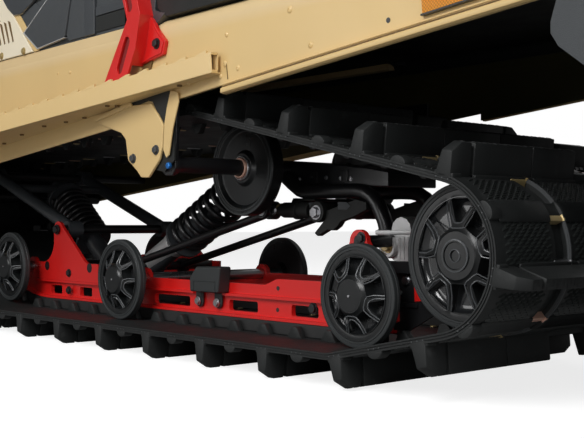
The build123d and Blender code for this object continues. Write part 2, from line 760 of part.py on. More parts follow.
# Levers on the tunnel's shaft, and the rods that run down from them and from the crank block
lever_pin = (ahead(500), up(190))
shock_top = (ahead(600), up(268))
lever_y = 84.0
lever_t = 8.0
lever_top_r = 18.0
lever_foot_r = 14.0
lever_shaft = (ahead(carrier_ahead), up(carrier_up))
with BuildPart() as levers:
    with BuildSketch(side_plane(lever_y + lever_t)):
        Polygon((lever_shaft[0] - lever_top_r + 2, lever_shaft[1]),
                (lever_pin[0] - lever_foot_r, lever_pin[1]), (lever_pin[0] + lever_foot_r, lever_pin[1]),
                (lever_shaft[0] + lever_top_r - 2, lever_shaft[1]), align=None)
        with Locations(lever_shaft):
            Circle(lever_top_r)
        with Locations(lever_pin):
            Circle(lever_foot_r)
            Circle(shaft_r + fit, mode=Mode.SUBTRACT)
        with Locations(lever_shaft):
            Circle(shaft_r + fit, mode=Mode.SUBTRACT)
    extrude(amount=lever_t)
    mirror(about=Plane.XZ)

shock_foot = (ahead(shock_foot_ahead), up(shock_foot_up))
rod_eye_r = 15.0
rod_eye_width = 16.0
rod_gap = 12.0
inner_rod_y = 38.0
with BuildPart() as pull_rods:
    for side in (-1, 1):
        add(rod(lever_pin, shock_foot, side * (lever_y - rod_gap), rod_r, rod_eye_r, rod_eye_width,
                (shaft_r, shaft_r)))
        add(rod(crank_pin, wheel_places[1], side * inner_rod_y, rod_r, rod_eye_r + 1, rod_eye_width,
                (shaft_r, axle_r)))

with BuildPart() as lever_pins:
    with Locations(crossing(*lever_pin)):
        Cylinder(shaft_r, 2 * (lever_y + lever_t))


seat_t = 5.0
seat_shares = (0.3, 0.87)
body_share = 0.55


def damper(start, finish, eye_r, eye_width):
    """Shock absorber between two eyes, and the spring between its seats."""
    span = Vector(finish[0] - start[0], 0, finish[1] - start[1])
    length = span.length
    low, high = (share * length for share in seat_shares)
    with BuildPart() as unit:
        with BuildSketch(Plane(origin=(start[0], 0, start[1]), x_dir=(0, 1, 0), z_dir=span.normalized())):
            Circle(damper_r)
        extrude(amount=length * body_share)
        with BuildSketch(Plane(origin=(start[0], 0, start[1]), x_dir=(0, 1, 0), z_dir=span.normalized())):
            Circle(damper_rod_r)
        extrude(amount=length)
        for along in (low, high):
            seat = Vector(start[0], 0, start[1]) + span.normalized() * along
            with BuildSketch(Plane(origin=seat, x_dir=(0, 1, 0), z_dir=span.normalized())):
                Circle(spring_r)
            extrude(amount=seat_t)
        with Locations(crossing(*start), crossing(*finish)):
            Cylinder(eye_r, eye_width)
        with Locations(crossing(*start), crossing(*finish)):
            Cylinder(shaft_r + fit, 3 * eye_r, mode=Mode.SUBTRACT)
    bottom, top = low + seat_t + fit, high - fit
    step = (top - bottom) / coils
    points = [(damper_r + fit, bottom)]
    for k in range(coils):
        points += [(spring_r - 2 * wire_r, bottom + k * step), (spring_r, bottom + (k + 0.5) * step)]
    points += [(spring_r - 2 * wire_r, top), (damper_r + fit, top)]
    normal = span.cross(Vector(0, 1, 0)).normalized()
    base = Plane(origin=(start[0], 0, start[1]), x_dir=(0, 1, 0), z_dir=normal)
    with BuildPart() as spring:
        with BuildSketch(base):
            Polygon(*[(r, -along) for r, along in points], align=None)
        revolve(axis=Axis((start[0], 0, start[1]), tuple(span)))
    return unit.part, spring.part


shock_eye_width = 30.0
rear_damper, rear_coil = damper(shock_foot, shock_top, damper_r, shock_eye_width)
with BuildPart() as rear_shock:
    add(rear_damper)
with BuildPart() as rear_spring:
    add(rear_coil)

# Bump stops on the rails, each with two legs that are bolted on below
bump_y = 165.0
bump_in = rail_y + rail_t / 2 + fit
bump_leg_t = 6.0
bump_leg_r = 9.5
bump_legs = (597.0, 546.0)
bump_leg_up = 39.0
bump_outline = [(522, gusset_low), (598, gusset_low), (599, 79), (581, 98), (516, 99)]
with BuildPart() as bump_stops:
    with BuildSketch(side_plane(bump_y)):
        Polygon(*side_view(bump_outline), align=None)
    extrude(amount=bump_y - bump_in)
    with BuildSketch(side_plane(bump_in + bump_leg_t)):
        for leg in bump_legs:
            with Locations((ahead(leg), up(bump_leg_up))):
                Circle(bump_leg_r)
                Rectangle(2 * bump_leg_r, gusset_low - bump_leg_up, align=(Align.CENTER, Align.MIN))
    extrude(amount=bump_leg_t)
    mirror(about=Plane.XZ)

# Front arm: two tubes from the front shaft up to the shaft across the tunnel
front_pivot = (ahead(front_pivot_ahead), up(front_pivot_up))
front_hanger = (ahead(front_hanger_ahead), up(front_hanger_up))
front_tube = tuple(a + front_tube_share * (b - a) for a, b in zip(front_pivot, front_hanger))
front_eye_r = 17.0
with BuildPart() as front_arm:
    for side in (-1, 1):
        add(rod(front_pivot, front_hanger, side * front_arm_y, arm_r, front_eye_r, shock_eye_width,
                (shaft_r, shaft_r)))
    with Locations(crossing(*front_tube)):
        Cylinder(shaft_r, 2 * front_arm_y)

front_foot = (ahead(front_shock_ahead), up(shock_foot_up))
front_damper, front_coil = damper(front_foot, front_tube, front_eye_r, shock_eye_width)
with BuildPart() as front_shock:
    add(front_damper)
with BuildPart() as front_spring:
    add(front_coil)

# Seat base on the tunnel, and the cream covers over its front part
seat_top = tunnel_top + seat_height
seat_y = wall_y - 1.0
seat_rake = 60.0
hollow_rear = 12.0
recess_rear, recess_front = 598.0, 686.0
recess_up = 6.0
recess_height = 32.0
seat_rear, seat_front = ahead(seat_rear_ahead), ahead(seat_front_ahead)
with BuildPart() as seat_base:
    with BuildSketch(side_plane(seat_y)):
        Polygon((seat_rear, tunnel_top + fit), (seat_front, tunnel_top + fit), (seat_front, seat_top),
                (seat_rear + seat_rake, seat_top), align=None)
    extrude(amount=2 * seat_y)
    with BuildSketch(side_plane(seat_y - seat_wall)):
        Polygon((seat_rear + hollow_rear, tunnel_top), (seat_front + 1, tunnel_top),
                (seat_front + 1, seat_top - seat_wall),
                (seat_rear + seat_rake + hollow_rear - seat_wall, seat_top - seat_wall), align=None)
    extrude(amount=2 * (seat_y - seat_wall), mode=Mode.SUBTRACT)
    with BuildSketch(side_plane(seat_y + 1)):
        with Locations((ahead(recess_rear), tunnel_top + recess_up)):
            Rectangle(recess_front - recess_rear, recess_height, align=Align.MIN)
    extrude(amount=2 * seat_y + 2, mode=Mode.SUBTRACT)
    with BuildSketch(Plane.XY.offset(seat_top)):
        with Locations((ahead((seat_rear_ahead + seat_front_ahead) / 2), 0)):
            with GridLocations(*seat_bolts, 2, 2):
                Circle(seat_bolt_r)
    extrude(amount=-seat_wall, mode=Mode.SUBTRACT)

with BuildPart() as side_covers:
    with BuildSketch(side_plane(seat_y + fit + cover_t)):
        Polygon((ahead(cover_low_ahead), tunnel_top + fit), (ahead(seat_front_ahead), tunnel_top + fit),
                (ahead(seat_front_ahead), seat_top), (ahead(cover_high_ahead), seat_top), align=None)
    extrude(amount=cover_t)
    mirror(about=Plane.XZ)

# Amber reflectors on the rear of the tunnel's walls
reflector_t = 6.0
reflector_size = (110.0, 40.0)
reflector_place = (ahead(-80), up(427), 0)
reflector_turn = (0, 0, -degrees(atan2(hem_drop, 1)))
with BuildPart() as reflectors:
    with BuildSketch(side_plane(wall_y + fit + reflector_t)):
        with Locations(Location(reflector_place, reflector_turn)):
            Rectangle(*reflector_size)
    extrude(amount=reflector_t)
    mirror(about=Plane.XZ)

# Rear cap: moulded cheeks outside the tunnel's walls, joined behind it
cap_t = 5.0
cap_out = wall_y + hem_t + fit + cap_t
cap_rear = ahead(cap_rear_ahead)
cap_low = up(262)
cap_front = side_view([(-238, 318), (-208, 341), (-199, 355), (-199, 367), (-206, 388), (-222, 430)])
cap_heel = up(320)
cap_bevel = (16.0, 24.0)
cheek_foot = 63.0
flap_pin_r = 6.0
pin_play = 0.08
pin_up = 14.0
pin_inset = 47.0
flap_pin = (cap_rear + pin_inset, cap_low + pin_up)
with BuildPart() as rear_cap:
    with BuildSketch(side_plane(cap_out)):
        Polygon(*reversed(cap_front), (cap_rear + cheek_foot, cap_low), (cap_rear + cap_depth, cap_low),
                (cap_rear, cap_heel), (cap_rear, tunnel_top - cap_bevel[1]),
                (cap_rear + cap_bevel[0], tunnel_top), (cap_front[-1][0], tunnel_top), align=None)
    extrude(amount=2 * cap_out)
    with BuildSketch(side_plane(cap_out - cap_t)):
        inner_x, inner_z = cap_rear + cap_t, tunnel_top - cap_t
        open_x, open_top, open_low = max(x for x, z in cap_front) + cap_t, tunnel_top + cap_t, cap_low - cap_t
        Polygon((open_x, open_low), (inner_x, open_low), (inner_x, tunnel_top - cap_bevel[1] - 2),
                (cap_rear + cap_bevel[0] + 2, inner_z), (rear_x - fit, inner_z), (rear_x - fit, open_top),
                (open_x, open_top), align=None)
    extrude(amount=2 * (cap_out - cap_t), mode=Mode.SUBTRACT)
    with Locations(crossing(*flap_pin)):
        Cylinder(flap_pin_r + fit, 3 * cap_out, mode=Mode.SUBTRACT)

# Snow flap on its hinge pin between the cap's cheeks
flap_gap = 5.0
flap_half = cap_out - cap_t - flap_gap
flap_low = up(40)
flap_t = 6.0
flap_corner = 40.0
knuckle_r = 11.0
with BuildPart() as flap_pin_rod:
    with Locations(crossing(*flap_pin)):
        Cylinder(flap_pin_r, 2 * cap_out)

with BuildPart() as snow_flap:
    with BuildSketch(Plane(origin=(flap_pin[0] + flap_t / 2, 0, 0), x_dir=(0, 1, 0), z_dir=(-1, 0, 0))):
        Polygon((-flap_half, -flap_pin[1]), (flap_half, -flap_pin[1]), (flap_half, -flap_low - flap_corner),
                (flap_half - flap_corner, -flap_low), (flap_corner - flap_half, -flap_low),
                (-flap_half, -flap_low - flap_corner), align=None)
    extrude(amount=flap_t)
    with Locations(crossing(*flap_pin)):
        Cylinder(knuckle_r, 2 * flap_half)
    with Locations(crossing(*flap_pin)):
        Cylinder(flap_pin_r + pin_play, 2 * flap_half + 2, mode=Mode.SUBTRACT)

# Lifting bumper: a tube loop behind the cap, whose feet are bolted through the cheeks
bumper_x = -half_length + bumper_r
bumper_z = up(440)
bumper_y = cap_out + fit + bumper_r
bumper_bend = 45.0
bumper_foot = ahead(-230)
with BuildPart() as rear_bumper:
    with BuildLine() as bumper_path:
        FilletPolyline((bumper_foot, bumper_y, bumper_z), (bumper_x, bumper_y, bumper_z),
                       (bumper_x, -bumper_y, bumper_z), (bumper_foot, -bumper_y, bumper_z),
                       radius=bumper_bend)
    with BuildSketch(Plane(origin=bumper_path.line @ 0, z_dir=bumper_path.line % 0)):
        Circle(bumper_r)
    sweep()

# Hitch: a plate under the tunnel's rear end with an upright hole for the pin
hitch_t = 10.0
hitch_r = 8.25
hitch_size = (34.0, 60.0)
hitch_low = up(392)
hitch_out = 19.0
with BuildPart() as hitch:
    with BuildSketch(Plane.XY.offset(hitch_low)):
        with Locations((cap_rear - fit, 0)):
            Rectangle(*hitch_size, align=(Align.MAX, Align.CENTER))
        with Locations((cap_rear - hitch_out, 0)):
            Circle(hitch_r, mode=Mode.SUBTRACT)
    extrude(amount=hitch_t)

pieces = [
    ("tunnel", tunnel), ("front_bulkhead", front_bulkhead), ("rear_cap", rear_cap),
    ("snow_flap", snow_flap), ("flap_pin", flap_pin_rod), ("rear_bumper", rear_bumper), ("hitch", hitch),
    ("running_boards", running_boards), ("board_tubes", board_tubes), ("struts", struts),
    ("drop_brackets", drop_brackets), ("shaft_hangers", shaft_hangers), ("tunnel_shaft", tunnel_shaft),
    ("cross_shafts", cross_shafts), ("rear_arm", rear_arm), ("pivot_castings", pivot_castings),
    ("crank_block", crank_block), ("crank_pins", crank_pins), ("levers", levers), ("lever_pins", lever_pins),
    ("pull_rods", pull_rods), ("rear_shock", rear_shock), ("rear_spring", rear_spring),
    ("front_shock", front_shock), ("front_spring", front_spring), ("bump_stops", bump_stops),
    ("front_arm", front_arm),
    ("seat_base", seat_base), ("side_covers", side_covers), ("reflectors", reflectors),
    ("drive_axle", drive_axle), ("track", track), ("rails", rails), ("sliders", sliders),
    ("gussets", gussets), ("bogie_wheels", bogie_wheels), ("idler_wheels", idler_wheels),
    ("wheel_tyres", wheel_tyres), ("carrier_wheels", carrier_wheels), ("bogie_axles", bogie_axles),
    ("idler_axle", idler_axle),
]
for label, piece in pieces:
    piece.part.label = label
    export_step(piece.part, f"parts/{label}.step")
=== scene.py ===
"""Dresses the rear tunnel, suspension and track of a snowmobile and sets up its studio.

X points forward, Y to the left and Z up, in metres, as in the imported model.
"""
from __future__ import annotations

import json
import logging
import math
from collections.abc import Callable, Iterable, Sequence
from dataclasses import dataclass
from enum import Enum

import bpy
from mathutils import Matrix, Vector

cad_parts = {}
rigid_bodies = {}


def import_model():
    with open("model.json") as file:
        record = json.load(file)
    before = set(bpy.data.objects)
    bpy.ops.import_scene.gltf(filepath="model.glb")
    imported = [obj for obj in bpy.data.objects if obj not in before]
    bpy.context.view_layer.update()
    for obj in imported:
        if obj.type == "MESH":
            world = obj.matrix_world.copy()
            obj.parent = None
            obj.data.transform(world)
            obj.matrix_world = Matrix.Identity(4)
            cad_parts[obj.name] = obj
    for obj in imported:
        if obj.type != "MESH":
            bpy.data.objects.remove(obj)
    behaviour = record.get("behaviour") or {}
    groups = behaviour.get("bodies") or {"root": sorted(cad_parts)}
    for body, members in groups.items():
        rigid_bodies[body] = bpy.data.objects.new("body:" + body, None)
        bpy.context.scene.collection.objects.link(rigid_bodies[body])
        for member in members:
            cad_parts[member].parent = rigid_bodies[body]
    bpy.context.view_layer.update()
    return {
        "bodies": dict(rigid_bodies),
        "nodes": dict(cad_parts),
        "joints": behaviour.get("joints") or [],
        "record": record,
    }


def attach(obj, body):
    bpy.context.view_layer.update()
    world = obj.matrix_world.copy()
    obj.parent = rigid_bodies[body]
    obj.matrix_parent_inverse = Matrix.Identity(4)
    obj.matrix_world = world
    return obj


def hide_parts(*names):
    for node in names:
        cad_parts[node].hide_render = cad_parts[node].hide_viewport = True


log = logging.getLogger("snowmobile")

Point = tuple[float, float, float]
Outline = Sequence[tuple[float, float]]
Colour = tuple[float, ...]
Pair = tuple[float, float]
Four = tuple[float, float, float, float]
Block = tuple[float, float, float, float, float]
Piece = bpy.types.Object
Socket = bpy.types.NodeSocket

IDLER_X = -0.690
BELT_Z = 0.048
WHITE: Colour = (1.0, 1.0, 1.0, 1.0)
FLIP = Matrix.Scale(-1.0, 4, (0.0, 1.0, 0.0))


class Grain(Enum):
    """Small relief that a finish carries."""

    ORANGE_PEEL = "orange peel"
    PEBBLE = "pebble"
    TREAD = "tread"
    CAST = "cast"
    BRUSHED = "brushed"
    PRISMS = "prisms"


class Graph:
    """Node tree of one material, with short ways to add and link its nodes."""

    def __init__(self, name: str) -> None:
        """Makes an empty material.

        Args:
            name: Name of the material.
        """
        self.material = bpy.data.materials.new(name)
        self.material.use_nodes = True
        self.tree = self.material.node_tree
        self.tree.nodes.clear()
        self.output = self.tree.nodes.new("ShaderNodeOutputMaterial")

    def node(self, kind: str, **sockets: object) -> bpy.types.Node:
        """Adds a node and sets its sockets or properties by name.

        Args:
            kind: Blender's name of the node type.
            **sockets: Values or output sockets, by input name with _ for a space.

        Returns:
            The new node.
        """
        made = self.tree.nodes.new(kind)
        for key, value in sockets.items():
            if hasattr(made, key) and key not in made.inputs:
                setattr(made, key, value)
                continue
            numbered = key[0] == "i" and key[1:].isdigit()
            place = made.inputs[int(key[1:]) if numbered else key.replace("_", " ")]
            if isinstance(value, Socket):
                self.tree.links.new(value, place)
            else:
                place.default_value = value
        return made

    def noise(self, vector: Socket, scale: float, detail: float = 3.0) -> Socket:
        """Adds a noise texture.

        Args:
            vector: Where the noise is read.
            scale: Waves in a metre.
            detail: Number of finer layers.

        Returns:
            The noise's strength.
        """
        return self.node("ShaderNodeTexNoise", Vector=vector, Scale=scale, Detail=detail).outputs["Fac"]

    def ramp(self, value: Socket, low: float, high: float, to_low: float = 0.0, to_high: float = 1.0) -> Socket:
        """Stretches a value from one range to another and clamps it.

        Args:
            value: The value.
            low: Start of its range.
            high: End of its range.
            to_low: What low becomes.
            to_high: What high becomes.

        Returns:
            The stretched value.
        """
        return self.node("ShaderNodeMapRange", Value=value,
                         From_Min=low, From_Max=high, To_Min=to_low, To_Max=to_high).outputs["Result"]

    def maths(self, operation: str, first: object, second: object = 0.0) -> Socket:
        """Adds one sum of two values.

        Args:
            operation: Blender's name of the operation.
            first: A number or socket.
            second: A number or socket.

        Returns:
            The result.
        """
        return self.node("ShaderNodeMath", operation=operation, i0=first, i1=second).outputs[0]

    def blend(self, share: Socket, first: object, second: object) -> Socket:
        """Mixes two colours.

        Args:
            share: Share of the second colour.
            first: Colour or socket.
            second: Colour or socket.

        Returns:
            The mixed colour.
        """
        mixer = self.node("ShaderNodeMix", data_type="RGBA")
        self.tree.links.new(share, mixer.inputs[0])
        for place, value in ((6, first), (7, second)):
            if isinstance(value, Socket):
                self.tree.links.new(value, mixer.inputs[place])
            else:
                mixer.inputs[place].default_value = value
        return mixer.outputs[2]


@dataclass(frozen=True)
class Finish:
    """How one surface looks.

    The shade is how much lighter or darker the colour wanders, wear is the share of paler scuffs,
    relief is the depth of its grain in metres, and the shoulder highlight is the share of a painted
    highlight: paler paint between two heights, standing for light on the tunnel's rounded shoulder.
    A tint is a factor, with a grey that is added to it.
    """

    name: str
    slot: str
    colour: Point
    roughness: float
    metallic: float = 0.0
    coat: float = 0.0
    shade: float = 0.08
    shade_scale: float = 6.0
    wear: float = 0.0
    grain: Grain = Grain.ORANGE_PEEL
    grain_scale: float = 900.0
    relief: float = 0.00008
    shoulder_highlight: float = 0.0
    shoulder_highlight_heights: Pair = (0.490, 0.504)
    shoulder_highlight_colour: Colour = (0.93, 0.90, 0.83, 1.0)
    coat_roughness: float = 0.12
    roughness_swing: float = 0.12
    middle_noise: Pair = (0.3, 0.7)
    scuff_waves: float = 55.0
    scuff_tint: Pair = (0.55, 0.225)
    prism_tint: float = 0.45
    noise_detail: float = 4.0

    def tint(self, factor: float, lift: float = 0.0) -> Colour:
        """Returns the colour multiplied, lifted and clamped, with its alpha."""
        return (*(min(1.0, c * factor + lift) for c in self.colour), 1.0)

    def height(self, graph: Graph, place: Socket) -> Socket:
        """Builds the relief's height.

        Args:
            graph: Material to build in.
            place: Object coordinates.

        Returns:
            Height from 0 to 1.
        """
        if self.grain is Grain.PEBBLE:
            cells = graph.node("ShaderNodeTexVoronoi", Vector=place, Scale=self.grain_scale)
            return cells.outputs["Distance"]
        if self.grain is Grain.BRUSHED:
            stretched = graph.node("ShaderNodeMapping", Vector=place, Scale=(1.0, 0.04, 1.0))
            return graph.noise(stretched.outputs[0], self.grain_scale, self.noise_detail)
        if self.grain is Grain.TREAD:
            return graph.maths("ADD", graph.noise(place, self.grain_scale, 5.0),
                               graph.noise(place, self.grain_scale / 9.0, 2.0))
        if self.grain is Grain.PRISMS:
            turned = graph.node("ShaderNodeMapping", Vector=place, Rotation=(0.0, math.radians(45.0), 0.0))
            cells = graph.node("ShaderNodeTexVoronoi",
                               Vector=turned.outputs[0], Scale=self.grain_scale, Randomness=0.0)
            return cells.outputs["Distance"]
        return graph.noise(place, self.grain_scale, self.noise_detail)

    def build(self) -> bpy.types.Material:
        """Makes the material.

        Returns:
            The finished material.
        """
        graph = Graph(self.name)
        place = graph.node("ShaderNodeTexCoord").outputs["Object"]
        wander = graph.ramp(graph.noise(place, self.shade_scale), *self.middle_noise)
        colour = graph.blend(wander, self.tint(1.0 - self.shade), self.tint(1.0 + self.shade))
        if self.wear:
            scuffs = graph.ramp(graph.noise(place, self.scuff_waves, 8.0),
                                0.62 - 0.1 * self.wear, 0.72, 0.0, self.wear)
            colour = graph.blend(scuffs, colour, self.tint(*self.scuff_tint))
        if self.grain is Grain.PRISMS:
            facets = graph.ramp(self.height(graph, place), 0.15, 0.6)
            colour = graph.blend(facets, colour, self.tint(self.prism_tint))
        # painted highlight: paler paint between two heights for light falling on the tunnel's shoulder
        if self.shoulder_highlight:
            height = graph.node("ShaderNodeSeparateXYZ", Vector=place).outputs["Z"]
            shoulder_highlight = graph.ramp(height, *self.shoulder_highlight_heights, 0.0, self.shoulder_highlight)
            colour = graph.blend(shoulder_highlight, colour, self.shoulder_highlight_colour)
        swing = self.roughness * self.roughness_swing
        rough = graph.ramp(graph.noise(place, self.shade_scale * 3.0, 5.0),
                           *self.middle_noise, self.roughness - swing, self.roughness + swing)
        shader = graph.node("ShaderNodeBsdfPrincipled", Base_Color=colour, Roughness=rough, Metallic=self.metallic)
        shader.inputs["Coat Weight"].default_value = self.coat
        shader.inputs["Coat Roughness"].default_value = self.coat_roughness
        bump = graph.node("ShaderNodeBump", Height=self.height(graph, place), Distance=self.relief)
        graph.tree.links.new(bump.outputs[0], shader.inputs["Normal"])
        graph.tree.links.new(shader.outputs[0], graph.output.inputs["Surface"])
        graph.material.diffuse_color = self.tint(1.0)
        return graph.material


FINISHES = (
    Finish("sand_paint", "tan_metal", (0.72, 0.51, 0.225), 0.42, coat=0.15, shade=0.03, grain_scale=700.0,
           relief=0.00003),
    # the tunnel's paint carries a painted highlight on its shoulder
    Finish("tunnel_paint_shoulder_highlight", "tunnel", (0.72, 0.51, 0.225), 0.42, coat=0.15, shade=0.03, grain_scale=700.0,
           relief=0.00003, shoulder_highlight=0.12),
    # painted shade: tan as it looks in shade, for the hem's groove, the bolts under the boards, the gap under the
    # brace's lobe and the covers' slots
    Finish("shaded_paint", "shaded_tan", (0.16, 0.095, 0.030), 0.5),
    # painted shade: the braces' red as it looks in the shade of their slots
    Finish("red_slot_shade_paint", "red_in_shade", (0.20, 0.006, 0.005), 0.45),
    # painted highlight: the scales are lighter than the belt's own rubber so that they read as lit
    Finish("scale_rubber_lightened", "scales", (0.019, 0.022, 0.021), 0.34, coat=0.25),
    # painted shade: dark tan for the hollow inside the edge tubes' open ends
    Finish("recess_shade_paint", "tube_hollow_shade", (0.15, 0.085, 0.028), 0.5, shade=0.12),
    # near black: the crank housing's own black, and painted shade on the plates inside the tunnel and in the
    # bracket and seat gaps
    Finish("black_and_shade_paint", "black_and_shade", (0.008, 0.009, 0.008), 0.6, shade=0.15),
    # painted shade: the tan inner walls as they look in deep shade
    Finish("olive_wall_shade", "tan_wall_in_shade", (0.060, 0.050, 0.014), 0.6, shade=0.15),
    # painted highlight: ribs and cap rings paler than the wheel's own plastic, for light on their edges
    Finish("rib_highlight_plastic", "ribs", (0.085, 0.090, 0.095), 0.26, coat=0.5),
    Finish("bowl_plastic", "bowls", (0.010, 0.011, 0.012), 0.17, coat=1.0),
    Finish("blue_dye", "blue", (0.03, 0.20, 0.60), 0.25, metallic=0.6, grain=Grain.BRUSHED),
    Finish("red_paint", "red_metal", (0.66, 0.012, 0.010), 0.38, coat=0.3, shade=0.05, grain_scale=800.0,
           relief=0.00004),
    Finish("black_paint", "black_metal", (0.011, 0.011, 0.012), 0.34, coat=0.2),
    Finish("belt_rubber", "track_rubber", (0.011, 0.0125, 0.0125), 0.56, shade=0.20, wear=0.05, grain=Grain.TREAD,
           grain_scale=1500.0, relief=0.00012),
    Finish("tyre_rubber", "tyre_rubber", (0.024, 0.027, 0.028),
           0.50, shade=0.12, grain=Grain.TREAD, grain_scale=1800.0, relief=0.00006),
    Finish("wheel_nylon", "wheel_plastic", (0.008, 0.009, 0.0095),
           0.30, shade=0.12, grain_scale=1200.0, relief=0.00003),
    Finish("grained_plastic", "dark_plastic", (0.050, 0.055, 0.059),
           0.55, shade=0.06, grain=Grain.PEBBLE, grain_scale=1100.0, relief=0.00012),
    Finish("cream_plastic", "cream_plastic", (0.86, 0.77, 0.59), 0.42, shade=0.03),
    Finish("slider_plastic", "slider_plastic", (0.020, 0.020, 0.020), 0.45, grain=Grain.BRUSHED),
    Finish("amber_lens", "amber", (0.95, 0.34, 0.004), 0.30, coat=0.2, shade=0.10, grain=Grain.PRISMS,
           grain_scale=330.0, relief=0.0008),
    Finish("cast_alloy", "cast_metal", (0.66, 0.66, 0.66), 0.40, metallic=0.6, grain=Grain.CAST, grain_scale=420.0,
           relief=0.00022),
    Finish("zinc_steel", "steel", (0.50, 0.50, 0.52), 0.30, metallic=1.0, grain=Grain.BRUSHED),
    Finish("grey_paint", "grey_metal", (0.050, 0.055, 0.060), 0.35, coat=0.25),
    Finish("clip_brass", "brass", (0.62, 0.48, 0.24), 0.34, metallic=0.45, grain=Grain.BRUSHED),
    Finish("clip_copper", "copper", (0.78, 0.47, 0.36), 0.34, metallic=0.45, grain=Grain.BRUSHED),
    Finish("clip_bronze", "bronze", (0.48, 0.36, 0.16), 0.36, metallic=0.45, grain=Grain.BRUSHED),
    # pale: the cross rods' own ends, and on the windows' lips a painted highlight for light on their edges
    Finish("pale_ends_and_lip_highlight", "pale_rubber", (0.07, 0.074, 0.077), 0.5, grain=Grain.TREAD),
)


def spot(ahead: float, y: float, up: float) -> Vector:
    """Turns a measured place into the model's metres.

    Args:
        ahead: Millimetres ahead of the rear wheels' axle.
        y: Millimetres to the left.
        up: Millimetres above the belt's flat run.

    Returns:
        The place in metres.
    """
    return Vector((ahead / 1000.0 + IDLER_X, y / 1000.0, up / 1000.0 + BELT_Z))


